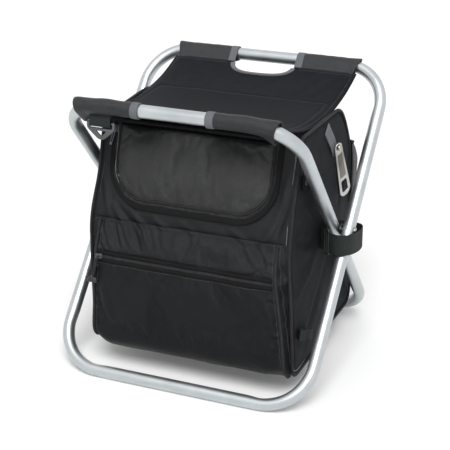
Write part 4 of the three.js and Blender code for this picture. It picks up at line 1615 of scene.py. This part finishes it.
@dataclass
class Flap:
    """The padded front flap, its edge piping and its zip; heights are out of the leaning panel."""

    bag: Bag
    back: float = -4.6
    rim: float = 2.2
    crown: float = 12.0
    voxel: float = 4.0

    def pad(self) -> Piece:
        """Builds the crowned pad and blows it up against its held rim.

        Returns:
            The pad.
        """
        face = self.bag.face
        line = self.bag.flap_line(-0.4, 150)
        edge = np.concatenate([line, np.linspace(line[-1], line[0], 52)[1:-1]])
        middle = np.array([0.0, 92.0])
        rings = [(0.5, self.back), (1.0, self.back), (1.0, self.rim)]
        for scale in np.linspace(0.97, 0.1, 16):
            rings.append((scale, self.rim + (self.crown - self.rim) * math.sqrt(1 - scale**3)))
        rows = [face.points(middle + (edge - middle) * scale, out) for scale, out in rings]
        build = MeshBuild()
        at = build.grid(np.array(rows), (False, True))
        build.fan(at[0][::-1], tuple(face.points(middle[None], self.back)[0]))
        build.fan(at[-1], tuple(face.points(middle[None], self.crown)[0]))
        # The pad's cloth is a lighter copy of the bag's: painted light on the flap's face.
        pad = build.make("front_flap_pad", PAINTED_LIT_FLAP_CLOTH)
        remesh = pad.modifiers.new("even", "REMESH")
        remesh.mode, remesh.voxel_size = "VOXEL", self.voxel * MM
        freeze(pad)
        flat, out = self._local(pad)
        inner = self.bag.in_flap(flat, -7.0) & (flat[:, 1] < self.bag.flap_high - 5)
        held = np.where(inner & (out > self.rim - 1.5), 0.0, 1.0)
        PressureRun(pressure=4.5, cap=8.0, grow=0.03).apply(pad, held)
        self._gather(pad)
        soften(pad)
        self._map(pad)
        pad.data.materials.clear()
        pad.data.materials.append(PAINTED_LIT_FLAP_CLOTH.material())
        pad.data.shade_smooth()
        return pad

    def _local(self, piece: Piece) -> tuple[Array, Array]:
        """A piece's points across and up the leaning panel, and their heights out of it."""
        place = self.bag.face
        rel = points_of(piece.data) / MM - np.array(place.origin)
        return coords(rel[:, 0], rel @ np.array(place.up)), rel @ place.out

    def _gather(self, pad: Piece) -> None:
        """Draws small gathers in from the lower seam and softens the face.

        Args:
            pad: The pad, whose mesh is changed.
        """
        flat, out = self._local(pad)
        line = self.bag.flap_line(0, 200)
        gap = np.linalg.norm(flat[:, None] - line[None], axis=2)
        near, along = gap.min(1), travel(line)[gap.argmin(1)]
        waves = np.sin(along / 6.3 + 1.3 * np.sin(along / 31)) * np.sin(along / 41 + 0.6) ** 2
        lower = ease(120, 60, flat[:, 1])
        lift = waves * 1.7 * lower * np.exp(-(((near - 9) / 9) ** 2))
        lift += Ripples(5, 60)(flat[:, 0], flat[:, 1]) * 0.8 * ease(6, 40, near)
        lift *= ease(self.rim - 1.5, self.rim + 1.5, out)
        move_points(pad.data, points_of(pad.data) + lift[:, None] * self.bag.face.out * MM)

    def _map(self, pad: Piece) -> None:
        """Gives the pad flat coordinates along its panel.

        Args:
            pad: The pad, whose mesh is changed.
        """
        flat, out = self._local(pad)
        layer = pad.data.uv_layers.get("UVMap") or pad.data.uv_layers.new(name="UVMap")
        where = np.zeros(len(pad.data.loops), np.int32)
        pad.data.loops.foreach_get("vertex_index", where)
        layer.data.foreach_set("uv", ((flat + out[:, None]) * MM)[where].astype(np.float32).ravel())

    def zip_band(self) -> None:
        """Builds the zip tape round the flap, wider along the bottom, with both rows of coil."""
        line = self.bag.flap_line(0, 220)
        inner, outer = self.bag.flap_line(1.4, 220), self.bag.flap_line(10.0, 220)
        low = ease(60, 24, line[:, 1])[:, None]
        outer = outer + (outer - inner) * low * np.array([0.15, 0.45])
        share = np.linspace(0, 1, 15)
        flat = inner[:, None] + (outer - inner)[:, None] * share[None, :, None]
        roll = 1.5 + 1.2 * np.sin(np.pi * share) ** 0.8 + 0.5 * np.exp(-(((share - 0.85) / 0.07) ** 2))
        rise = roll[None] + Ripples(8, 45)(flat[..., 0], flat[..., 1]) * 0.4 * np.sin(np.pi * share)
        face = self.bag.face
        band = patch("flap_zip_band", face.points(flat, rise), ZIP_TAPE, outward=False)
        thicken(band, 1.2)
        settle(band, "zip", "flap_zip_tape")
        for name, body, grow in (("bag", "front_frame", 3.7), ("flap", "front_flap", 1.3)):
            run = BeadRun(f"flap_zip_coil_{name}", Bead.COIL, ZIP_COIL)
            run.add(face.points(self.bag.flap_line(grow, 300), 3.0), face.out)
            settle(run.make(), "zip", body=body)
        run = BeadRun("flap_band_stitching", Bead.FINE_STITCH, THREAD)
        run.add(face.points(inner + (outer - inner) * 0.85, 2.5), face.out)
        settle(run.make(), "zip")

    def dress(self) -> None:
        """Builds the pad, its piping and its zip."""
        pad = self.pad()
        settle(pad, "seat_cloth", "front_flap", body="front_flap")
        line = self.bag.face.points(self.bag.flap_line(-1.6, 240), self.rim + 1.4)
        cord = strand("flap_piping", PIPING, line, round_section(2.0), self.bag.face.out)
        settle(cord, "seat_cloth", body="front_flap")
        self.zip_band()


# Folds of the front pocket's cloth, across and up.
POCKET_FOLDS = (
    (-132, 236, -112, 196, 5, 5.4), (-118, 236, -100, 198, 4, -4.4), (-102, 236, -78, 200, 5, 5.6),
    (-138, 222, -124, 194, 4, 3.6), (-86, 232, -66, 200, 5, -3.8), (-70, 234, -52, 204, 6, 3.4),
    (-40, 232, -26, 210, 7, 2.2), (124, 160, 142, 104, 8, 2.0), (100, 70, 138, 58, 8, -1.6),
    (-60, 156, 40, 148, 14, 1.6), (-134, 150, -116, 80, 9, 2.6), (90, 232, 120, 204, 8, 2.4),
    (-40, 140, 70, 96, 18, 1.2), (40, 170, 90, 120, 14, -1.4),
)


@dataclass
class FrontPocket:
    """The boxed front pocket with its level zip; its face is upright below the shoulder."""

    bag: Bag
    high: float = 238.0
    shoulder: float = 198.0
    half: float = 139.0
    spread: float = 9.5
    depth: float = 16.0
    wall: float = 1.4
    zip_z: float = 184.0
    zip_half: float = 138.0
    zip_steps: int = 150
    ahead: float = -160.0
    cols: int = 104
    rows: int = 104
    gusset: int = 9

    def half_at(self, z: Array) -> Array:
        """The middle to the face's side seam, which spreads towards the base."""
        return self.half + self.spread * ease(self.high, 52, z)

    def edge(self, count: int) -> tuple[Array, Array]:
        """The bag's front in (y, z) from under its lower edge up to the pocket's top seam.

        Args:
            count: Points along it.

        Returns:
            The points and their outward directions.
        """
        line = self.bag.outline()
        top = int(np.argmin(np.abs(line[:, 0] - self.bag.front) + np.abs(line[:, 1] - self.high)))
        down = np.roll(line, -top, 0)
        stop = int(np.argmax((down[:, 1] < self.bag.base + 1) & (down[:, 0] > self.bag.front + 17)))
        up = resample(down[stop::-1], count)
        ahead = unit(np.gradient(up, axis=0))
        return up, coords(-ahead[:, 1], ahead[:, 0])

    def out_at(self, run: Array, z: Array) -> Array:
        """How far the face's seam stands out, by distance from its foot and by height."""
        foot = np.sqrt(np.clip(1 - (1 - np.clip(run / 24, 0, 1)) ** 2, 0, 1))
        slope = 1 - ease(self.shoulder - 14, self.high + 8, z)
        return 1.4 + self.depth * foot * (0.08 + 0.92 * slope)

    def skin(self, x: Array, line: Array, out: Array, rise: Array) -> Array:
        """Points that stand out from the bag's front.

        Args:
            x: Places across, by row and column.
            line: The bag's front in (y, z), by row.
            out: Its outward directions, by row.
            rise: Distances from the bag's skin, by row and column.

        Returns:
            The points.
        """
        away = np.broadcast_to(out[:, None], (*x.shape, 2))
        y, z = (np.broadcast_to(line[:, None, k], x.shape) for k in (0, 1))
        total = rise + self.bag.slump(x, y, z, away)
        push = unit(away * 0.4 + np.array([-0.6, 0.0]))
        return self.bag.shaped(coords(x, y + push[..., 0] * total, z + push[..., 1] * total))

    def fullness(self, x: Array, z: Array) -> Array:
        """How far the face swells and puckers between its seams.

        Args:
            x: Places across.
            z: Heights.

        Returns:
            Distances outwards.
        """
        t = x / self.half_at(z)
        round_off = np.clip(1 - np.abs(t) ** 4, 0, 1)
        full = 5.0 * round_off * np.sin(np.pi * np.clip((z - 46) / 132, 0, 1)) ** 0.8
        full += 2.6 * round_off * np.sin(np.pi * np.clip((z - 190) / 48, 0, 1))
        near = self.half_at(z) - np.abs(x)
        gather = np.sin(z / 2.5 + 1.9 * np.sin(z / 15) + np.sign(x)) * (0.6 + 0.4 * np.sin(z / 9 + 2))
        puckers = 2.2 * gather * np.exp(-near / 10) * ease(0, 3, near) * ease(50, 82, z)
        return full + puckers + folded(POCKET_FOLDS, x, z)

    def panel(self) -> Piece:
        """Builds the face and both gussets as one sheet and lets it gather along its held seams.

        Returns:
            The pocket.
        """
        line, out = self.edge(self.rows)
        run, z = travel(line), line[:, 1]
        t = np.linspace(-1, 1, self.cols)
        t = 0.75 * t + 0.25 * np.sin(t * np.pi / 2)
        x = self.half_at(z)[:, None] * t
        stands = self.out_at(run, z)[:, None]
        face = self.skin(x, line, out, stands + self.fullness(x, z[:, None] + 0 * x))
        wings = []
        for sign, seam in ((-1, x[:, :1]), (1, x[:, -1:])):
            share = np.linspace(0, 1, self.gusset + 1)[1:]
            across = seam + (sign * (self.bag.half - 3.5) - seam) * share
            tuck = (4.2 + 2.4 * np.sin(z / 8 + 2 * np.sin(z / 27))) * ease(0, 40, run)
            sunk = tuck[:, None] * np.sin(np.pi * share) * ease(0, 9, stands)
            rise = stands * (1 - share) + 0.8 * share - sunk
            wings.append(self.skin(across, line, out, np.maximum(rise, 0.8)))
        points = np.concatenate([wings[0][:, ::-1], face, wings[1]], axis=1)
        pocket = patch("front_pocket_cloth", points, BAG_CLOTH, PAINTED_SHADE_POCKET_CLOTH, weld=0, outward=False)
        # Faces below the zip take the darker copy of the cloth: painted shade on the lower pocket.
        for polygon in pocket.data.polygons:
            polygon.material_index = int(polygon.center.z < self.zip_z * MM)
        turn_faces(pocket, -1)
        held = np.zeros(points.shape[:2])
        held[:2], held[-2:], held[:, :2], held[:, -2:] = 1, 1, 1, 1
        held = np.maximum(held, ease(60, 15, run)[:, None])
        held[np.abs(z - self.zip_z) < 9] = 1
        held[:, self.gusset] = held[:, -self.gusset - 1] = 1
        PressureRun(pressure=0.8, cap=4.0, grow=0.02).apply(pocket, held.reshape(-1))
        soften(pocket)
        thicken(pocket, self.wall)
        return pocket

    def level(self, probe: Probe, z: float, lift: float = 0.0) -> tuple[Array, Array]:
        """A level line on the pocket's face, with the directions out of it."""
        x = np.linspace(-self.zip_half, self.zip_half, self.zip_steps)
        return probe.lay(coords(x, self.ahead, z), (0, 1, 0), lift)

    def trim(self, pocket: Piece) -> None:
        """Adds the piping at the side seams, the zip band with its coil, the stitching, and dark thread on
        the top seams as painted shade.

        Args:
            pocket: The pocket's cloth.
        """
        probe = Probe(pocket)
        line, out = self.edge(110)
        run, z = travel(line), line[:, 1]
        seam = self.out_at(run, z)[:, None]
        for word, side in SIDES:
            path = self.skin(side * (self.half_at(z)[:, None] + 0.6), line, out, seam + 0.9)[:, 0]
            cord = strand(f"pocket_piping_{word}", PIPING, path, round_section(2.1), FRONTWARD)
            settle(cord, "bag_cloth")
        rise = np.linspace(-9, 9, 17)
        points = np.stack([self.level(probe, self.zip_z + up)[0] for up in rise], axis=1)
        off = np.abs(rise)
        points[..., 1] -= 1.2 + 1.6 * np.exp(-(((off - 5.6) / 1.9) ** 2)) - 0.5 * (off < 2.5)
        band = patch("pocket_zip_band", points, ZIP_TAPE, outward=False)
        turn_faces(band, -1)
        thicken(band, 1.0)
        settle(band, "zip", "pocket_zip_tape")
        coil = BeadRun("pocket_zip_coil", Bead.COIL, ZIP_COIL)
        centre = points[:, len(rise) // 2] + (0, -0.7, 0)
        for up in (-1.1, 1.1):
            coil.add(centre + (0, 0, up), FRONTWARD)
        settle(coil.make(), "zip")
        stitch = BeadRun("pocket_stitching", Bead.STITCH, THREAD)
        # The seam over the zip and the top seam get dark thread: painted shade for the shadow in their
        # grooves.
        seams = BeadRun("pocket_top_seam_shadow", Bead.STITCH, SEAM_SHADOW_THREAD)
        for sewn, up in ((stitch, self.zip_z - 11), (seams, self.zip_z + 10.6), (seams, self.high - 4)):
            sewn.add(*self.level(probe, up, 0.1))
        settle(seams.make(), "bag_cloth")
        for side, inset in product((-1, 1), (-4.5, 3.8)):
            spot = self.skin(side * (self.half_at(z)[:, None] - inset), line, out, seam + 8)[14:, 0]
            stitch.add(*probe.lay(spot, (0, 1, 0), 0.1))
        settle(stitch.make(), "bag_cloth")

    def dress(self) -> None:
        """Builds the pocket and its trim."""
        pocket = self.panel()
        settle(pocket, "bag_cloth", "front_pocket")
        self.trim(pocket)


@dataclass
class RearPocket:
    """The full pocket on the bag's back."""

    bag: Bag
    half: float = 161.0
    low: float = 170.0
    high: float = 278.0
    depth: float = 41.0
    wall: float = 1.4

    @property
    def face(self) -> Place:
        """The back panel's frame, from the middle of its foot."""
        rise = np.array([0.0, self.bag.hip[0] - self.bag.back, self.bag.hip[1] - self.bag.base])
        return Place((0.0, self.bag.back, self.bag.base), (-1.0, 0.0, 0.0), tuple(unit(rise)))

    def dress(self) -> None:
        """Builds the pocket's cloth, its piped mouth and its stitching."""
        bend = np.cos(np.linspace(0, 1.33, 22)) ** 0.2
        a = np.concatenate([-bend, np.linspace(-bend[-1], bend[-1], 52)[1:-1], bend[::-1]])
        b = np.linspace(0, 1, 48)
        x, s = np.meshgrid(a * self.half, self.low + b * (self.high - self.low), indexing="ij")
        edge = np.clip(1 - np.abs(a) ** 10, 0, 1)[:, None] ** 0.1
        rise = np.interp(b, [0, 0.1, 0.3, 0.62, 0.85, 1], [0, 0.52, 0.9, 1.0, 0.62, 0.12])
        rise = np.convolve(np.pad(rise, 3, "edge"), np.ones(7) / 7, "valid")
        rise[0] = 0
        flat = coords(x, s)
        swell = Ripples(14, 50)(x, s) * 1.4 * edge * np.sin(np.pi * b)[None]
        out = 1.0 + edge * rise[None] * self.depth + swell
        normal = np.broadcast_to(self.face.out[1:], (*x.shape, 2))
        out = out + self.bag.slump(*np.moveaxis(self.face.points(flat), -1, 0), normal)
        cloth = patch("rear_pocket_cloth", self.face.points(flat, out), BAG_CLOTH, weld=0, outward=False)
        turn_faces(cloth, 1)
        soften(cloth)
        thicken(cloth, self.wall)
        settle(cloth, "bag_cloth", "rear_pocket")
        mouth = self.face.points(flat[:, -1] - (0, 1), out[:, -1] + 1.2)
        cord = strand("rear_pocket_piping", PIPING, mouth, round_section(1.9, 10), self.face.out)
        settle(cord, "bag_cloth")
        probe = Probe(cloth)
        run = BeadRun("rear_pocket_stitching", Bead.STITCH, THREAD)
        run.add(*probe.lay(self.face.points(flat[3:-3, -4], 20.0), -self.face.out, 0.1))
        settle(run.make(), "bag_cloth")


@dataclass
class ZipPulls:
    """The two zip sliders and their pulls; the flap's is placed outside the flap and up the leaning panel."""

    bag: Bag
    flap_at: Pair = (4.2, 131.0)
    flap_tilt: float = 0.2
    pocket_at: Triple = (-135.0, -156.6, 184.0)

    @staticmethod
    def slider(place: Place, zipper: str) -> None:
        """Builds one slider: a tapered body with a bridge for its pull.

        Args:
            place: The slider's frame; its tail points down.
            zipper: The zip that it runs on.
        """
        name, body = f"{zipper}_slider", f"{zipper}_zip_slider"
        outline = rounded([(-4.2, 5.5), (-4.2, -2.5), (-2.2, -5.5), (2.2, -5.5), (4.2, -2.5), (4.2, 5.5)],
                          (1.6, 1.5, 1.2, 1.2, 1.5, 1.6), 5)
        pieces = [place.plate(name, [outline], 1.5, 0.5, GUNMETAL, 0.3),
                  place.plate(name, [outline * 0.94], 1.5, 0.5, GUNMETAL, 2.2)]
        arch = np.array([(0, -3.6), (0, -3.2), (0, 0), (0, 3.2), (0, 3.6)])
        out = np.array([2.4, 4.0, 4.7, 4.0, 2.4])
        path = resample(place.points(arch, out), 13)
        pieces.append(strand(name, GUNMETAL, path, flat_section(2.0, 1.0), place.across))
        settle(joined(name, pieces), "steel", body, body=body)

    def on_flap(self) -> None:
        """Builds the flap's slider and slim pull."""
        face = self.bag.face
        outside, high = self.flap_at
        origin = face.points(np.array([-(self.bag.flap_half + outside), high]), 2.0)
        self.slider(Place(tuple(origin), face.across, face.up), "flap")
        blade = rounded([(-2.5, 0), (-2.0, -22), (-1.8, -28), (1.8, -28), (2.0, -22), (2.5, 0)],
                        (2, 2, 1.6, 1.6, 2, 2), 6)
        slot = rounded([(-1.2, -1.2), (-1.2, -4.6), (1.2, -4.6), (1.2, -1.2)], (0.8,) * 4, 5)
        low = rounded([(-1.0, -9), (-0.9, -24), (0.9, -24), (1.0, -9)], (0.7,) * 4, 5)
        c, d = math.cos(self.flap_tilt), math.sin(self.flap_tilt)
        across, up = np.array(face.across), np.array(face.up)
        spot = origin + face.out * 6.6 + up * 3
        hang = Place(tuple(spot), tuple(c * across - d * up), tuple(d * across + c * up))
        pull = hang.plate("flap_pull", [blade, slot, low], 1.6, 0.45, GUNMETAL)
        settle(pull, "steel", "flap_zip_pull", body="flap_zip_pull")

    def on_pocket(self) -> None:
        """Builds the pocket's slider and its toggle on two cords."""
        origin = np.array(self.pocket_at)
        self.slider(Place(tuple(origin), UP, (-1.0, 0.0, 0.0)), "pocket")
        build = MeshBuild()
        top = origin + (0, -5.2, 1.5)
        drop = np.linspace(0, 1, 14)
        for shift in (-0.9, 0.9):
            bow = shift * np.sin(np.pi * drop) ** 0.4 - 7 * drop
            path = np.c_[top[0] + bow, top[1] - 6 * drop, top[2] - 34 * drop]
            build.sweep(path, round_section(1.0, 10), FRONTWARD)
        cords = build.make("pocket_pull_cord", PIPING)
        bar = rounded([(-3.4, 3.5), (-8, 0.6), (-8, -5.5), (8, -5.5), (8, 0.6), (3.4, 3.5)],
                      (2.4, 2, 2, 2, 2, 2.4), 6)
        hang = Place(tuple(top + (-7, -6, -35)), RIGHT, UP)
        end = hang.plate("pocket_pull_end", [bar], 4.0, 1.3, PLASTIC)
        settle(joined("pocket_pull", [end, cords]), "plastic", "pocket_zip_pull", body="pocket_zip_pull")

    def dress(self) -> None:
        """Builds both zips' sliders and pulls."""
        self.on_flap()
        self.on_pocket()


@dataclass
class SideStraps:
    """Webbing straps that hold the bag to the crossed legs, with their slide buckles."""

    width: float = 32.0
    thick: float = 1.8
    height: float = 207.35
    near: float = 160.2
    far: float = 213.0
    arm: float = 41.0
    root: float = 14.0
    buckle_at: Pair = (175.6, -29.8)
    buckle_way: Pair = (0.757, -0.653)

    def line(self) -> Array:
        """Draws the right strap from above.

        Returns:
            Its corners, from its front end round the legs to its rear end.
        """
        n, f, a = self.near, self.far, self.arm
        return np.array([(n, 10 - self.root), (n, -self.root), (n + 3, -self.root - 4.5), (187, -a),
                         (201, -a), (f - 3, 10 - a), (f, 26 - a), (f, a - 22), (f - 4, a - 5),
                         (f - 15, a), (n + 9, a), (n + 1, a - 2), (n, a - 9), (n, a - 19)])

    def dress(self) -> None:
        """Builds a strap and a buckle on each side."""
        for word, side in SIDES:
            smooth = resample(cut_back(self.line()), 120)
            slope = 3.0 - 9.0 * ease(-46, 24, smooth[:, 1])
            path = np.c_[side * smooth[:, 0], smooth[:, 1], self.height + slope]
            section = flat_section(self.width, self.thick)[:, ::-1]
            strap = strand(f"side_strap_{word}_web", STRAP_WEB, path, section, UP)
            settle(strap, "webbing", f"side_strap_{word}", follow=Follow.WRAPPED)
            (x, y), (a, b) = self.buckle_at, self.buckle_way
            place = Place((side * x, y, self.height + 2), (a, b * side, 0.0), UP)
            outer = box(-6.5, -20, 6.5, 20, 3.5, 6)
            slots = [box(s, -16.6, s + 3.1, 16.6, 0.8, 4) for s in (-4.4, 1.3)]
            buckle = place.plate(f"slide_buckle_{word}", [outer, *slots], 4.0, 1.1, PLASTIC, 0.6)
            settle(buckle, "plastic", f"strap_buckle_{word}", follow=Follow.WRAPPED)


@dataclass
class SideFittings:
    """The bottle opener with its tape and rivet, and the two small tabs, on the right side."""

    bag: Bag
    rivet: Pair = (37.0, 332.0)
    tilt: float = math.radians(27)
    tape_tilt: float = math.radians(42)
    twist: float = math.radians(22)
    off: float = 7.8
    length: float = 99.0
    seam_at: Pair = (-90.0, 318.0)
    low_at: Pair = (-106.0, 92.0)
    low_tilt: float = math.radians(-20)

    def frame(self, y: float, z: float, tilt: float, out: float, twist: float = 0.0) -> Place:
        """A frame on the side panel, tilted in it and twisted about its own length.

        Args:
            y: Its place along the panel.
            z: Its height.
            tilt: The lean of its length in the panel.
            out: How far it stands off the panel.
            twist: The turn of its width out of the panel.

        Returns:
            The frame.
        """
        c, s = math.cos(tilt), math.sin(tilt)
        across = (math.sin(twist), c * math.cos(twist), s * math.cos(twist))
        spot = self.bag.shaped(np.array([self.bag.half + out, y, z]))
        return Place(tuple(spot), across, (0.0, -s, c))

    def opener(self) -> None:
        """Builds the pressed opener with its window, rim and rivet."""
        a, b = 8.0, 12.0
        tip = b - self.length
        outline = np.concatenate([arc(0, 0, a, np.linspace(0, np.pi, 16)),
                                  arc(0, tip, b, np.linspace(np.pi, 2 * np.pi, 24))])
        window = rounded([(-6.5, tip - 4), (6.5, tip - 4), (6.0, tip + 20), (-6.0, tip + 20)],
                         (4, 4, 3, 3), 7)
        hole = round_section(3.0, 18)
        place = self.frame(*self.rivet, self.tilt, self.off, self.twist)
        blade = place.plate("opener_blade", [outline, window, hole], 2.5, 0.6, NICKEL)
        panel = rounded([(-4.6, -12), (-6.6, tip + 27), (6.6, tip + 27), (4.6, -12)], (1.5, 2, 2, 1.5), 6)
        raised = place.plate("opener_panel", [panel], 1.2, 0.45, OPENER_FACE, 1.1)
        settle(joined("bottle_opener_blade", [blade, raised]), "steel", "bottle_opener", body="bottle_opener")
        profile = np.array([(0.01, -5.6), (1.9, -5.6), (1.9, 2.7), (5.0, 2.7), (4.9, 3.4), (4.2, 4.0),
                            (2.6, 4.2), (2.2, 3.6), (0.01, 3.5)])
        flat = profile[:, :1, None] * round_section(1.0, 28)
        square = self.frame(*self.rivet, self.tilt, self.off)
        rings = square.points(flat, np.broadcast_to(profile[:, 1:], flat.shape[:2]))
        head = patch("opener_rivet_head", rings, BRASS, wrap=(False, True), weld=0.05)
        settle(head, "steel", "opener_rivet")

    def tape(self) -> None:
        """Builds the ribbed tape that the opener hangs from."""
        place = self.frame(*self.rivet, self.tape_tilt, 1.4)
        along = np.linspace(-11, 50, 40)
        wave = 0.5 * np.sin(along / 9)
        path = place.points(coords(0, along), wave)
        tape = strand("opener_tape", GREY_TAPE, path, flat_section(20, 1.9), RIGHT)
        settle(tape, "grey_tape", "opener_webbing")
        ribs = BeadRun("opener_tape_ribs", Bead.RIB, GREY_TAPE)
        for shift in (-4.7, 4.7):
            ribs.add(place.points(coords(shift, along), wave + 0.8), RIGHT)
        settle(ribs.make(), "grey_tape")

    def tabs(self) -> None:
        """Builds the folded seam tab with its eyelet and the low webbing loop."""
        place = self.frame(*self.seam_at, 0.0, 0.4)
        tab = place.plate("seam_tab_web", [box(-10, -10, 10, 10, 2.5, 5)], 2.6, 0.8, ZIP_TAPE, 1.6)
        ring = [round_section(3.4, 20), round_section(1.7, 16)]
        eyelet = place.plate("seam_eyelet", ring, 1.4, 0.4, GUNMETAL, 3.2)
        settle(joined("seam_tab_folded", [tab, eyelet]), "webbing", "seam_tab")
        place = self.frame(*self.low_at, self.low_tilt, 0.3)
        wing = np.array([(0, 1.2), (-9, 1.4), (-15, 3.4), (-16.5, 6.6), (-13, 9.2), (-6, 7.6)])
        bow = np.concatenate([wing, [(0, 4.2)], wing[::-1] * (-1, 1)])
        bow = resample(cut_back(bow, 2), 70) * (1.35, 1.2)
        path = place.points(coords(bow[:, 0], 0), bow[:, 1])
        loop = strand("lower_tab_bow", STRAP_WEB, path, flat_section(16, 1.5)[:, ::-1], place.up)
        settle(loop, "webbing", "lower_tab")

    def dress(self) -> None:
        """Builds the fittings in order."""
        self.tape()
        self.opener()
        self.tabs()


@dataclass
class HangingRing:
    """The triangular ring on its webbing loop under the front bar's left sleeve."""

    x: float = -112.0
    axis_z: float = 397.5

    def dress(self) -> None:
        """Builds the cast ring and the webbing loop through it."""
        place = Place((self.x, -BONES.bar_y, self.axis_z), RIGHT, UP)
        outer = rounded([(-22, 2), (-22, -9), (-4.5, -24.6), (4.5, -24.6), (22, -9), (22, 2)],
                        (2.6, 4, 4, 4, 4, 2.6), 7)
        slot = box(-17.6, -2, 17.6, -7.6, 1.4, 5)
        eye = rounded([(-8.4, -12), (8.4, -12), (0, -20)], (2.2, 2.2, 1.8), 6)
        ring = place.plate("hanging_ring", [outer, slot, eye], 4.0, 1.1, GUNMETAL)
        settle(ring, "plastic", "d_ring", body="d_ring", follow=Follow.RIGID)
        turn = np.linspace(np.pi, 2 * np.pi, 22)
        low = coords(4.2 * np.cos(turn), 0.3 + 5.6 * np.sin(turn))
        stem = np.array([(-1.6, 12.5), (-2.2, 9.6), (-4.0, 5.4)])
        line = resample(np.concatenate([stem, low, stem[::-1] * (-1, 1)]), 60)
        path = np.c_[np.full(60, self.x), -BONES.bar_y + line[:, 0], self.axis_z + line[:, 1]]
        web = strand("hanging_ring_web", STRAP_WEB, path, flat_section(33, 1.8)[:, ::-1], RIGHT)
        settle(web, "webbing", "d_ring_webbing", follow=Follow.RIGID)


@dataclass
class Studio:
    """A plain pale floor, soft light and the camera at the photograph's place."""

    azimuth: float = 23.17
    elevation: float = 21.5
    place: Triple = (0.7209, -1.6846, 0.9188)
    lens: float = 102.39
    sun: float = 2.5
    sun_size: float = math.radians(32)
    sun_way: Triple = (-0.24, 0.56, -0.79)
    sky: float = 0.68

    def camera(self) -> None:
        """Sets the camera."""
        a, e = math.radians(self.azimuth), math.radians(self.elevation)
        back = Vector((math.sin(a) * math.cos(e), -math.cos(a) * math.cos(e), math.sin(e)))
        data = bpy.data.cameras.new("camera")
        data.lens, data.sensor_width, data.sensor_fit = self.lens, 36.0, "HORIZONTAL"
        data.clip_start, data.clip_end = 0.05, 60.0
        camera = shown("camera", data)
        camera.location = self.place
        camera.rotation_mode = "QUATERNION"
        camera.rotation_quaternion = (-back).to_track_quat("-Z", "Y")
        bpy.context.scene.camera = camera

    @staticmethod
    def looked_at(kit: NodeKit) -> Sock:
        """1 for rays from the camera, or ones that metal or glass sends on."""
        kinds = ("Camera", "Glossy", "Transmission")
        rays = [kit.node("ShaderNodeLightPath", output=f"Is {kind} Ray") for kind in kinds]
        return (rays[0] + rays[1] + rays[2]).clamp()

    def light(self) -> None:
        """Sets a soft key from the front right and a sky that looks white and is brighter overhead."""
        key = bpy.data.lights.new("key", "SUN")
        key.energy, key.angle = self.sun, self.sun_size
        lamp = shown("key", key)
        lamp.rotation_mode = "QUATERNION"
        lamp.rotation_quaternion = Vector(self.sun_way).to_track_quat("-Z", "Y")
        world = bpy.data.worlds.new("sky")
        world.use_nodes = True
        bpy.context.scene.world = world
        kit = NodeKit(world.node_tree)
        kit.tree.nodes.clear()
        seen = self.looked_at(kit)
        height = kit.node("ShaderNodeSeparateXYZ", None,
                          {0: kit.node("ShaderNodeTexCoord", output="Generated")}, 2)
        lit = (height.math("MAXIMUM", 0.0) * 0.75 + 0.3) * self.sky
        strength = seen + (1 - seen) * lit
        sky = kit.node("ShaderNodeBackground", None, {"Color": (1, 1, 1, 1), "Strength": strength})
        kit.node("ShaderNodeOutputWorld", None, {"Surface": sky})

    def floor(self) -> None:
        """Lays the floor, which looks white and keeps the shadow."""
        a = np.array([-9000.0, -900.0, 900.0, 9000.0])
        points = coords(a[:, None], a, -0.2)
        look = Look("pale_floor")
        mottle = look.noise(3, 2)
        pale = look.mix(mottle, (250, 250, 250), (253, 253, 253))
        matt = look.node("ShaderNodeBsdfDiffuse", None, {"Color": pale})
        white = look.node("ShaderNodeEmission", None, {"Strength": 1.0})
        both = look.node("ShaderNodeMixShader", None, {0: self.looked_at(look) * 0.1, 1: matt, 2: white})
        look.node("ShaderNodeOutputMaterial", None, {"Surface": both})
        floor = patch("floor", points, outward=False)
        floor.data.materials.append(look.material)

    def dress(self) -> None:
        """Sets up the studio."""
        bpy.context.scene.view_settings.view_transform = "Standard"
        self.camera()
        self.light()
        self.floor()


def main() -> None:
    """Builds the stool's pieces in order."""
    logging.basicConfig(level=logging.INFO, format="%(message)s")
    Studio().dress()
    for loop in (TubeLoop("front", BONES.inner_half, -1), TubeLoop("rear", BONES.outer_half, 1)):
        loop.dress()
    PivotHardware().dress()
    SlingSeat().dress()
    bag = Bag()
    bag.dress()
    Flap(bag).dress()
    FrontPocket(bag).dress()
    RearPocket(bag).dress()
    ZipPulls(bag).dress()
    SideStraps().dress()
    SideFittings(bag).dress()
    HangingRing().dress()


if __name__ == "__main__":
    main()
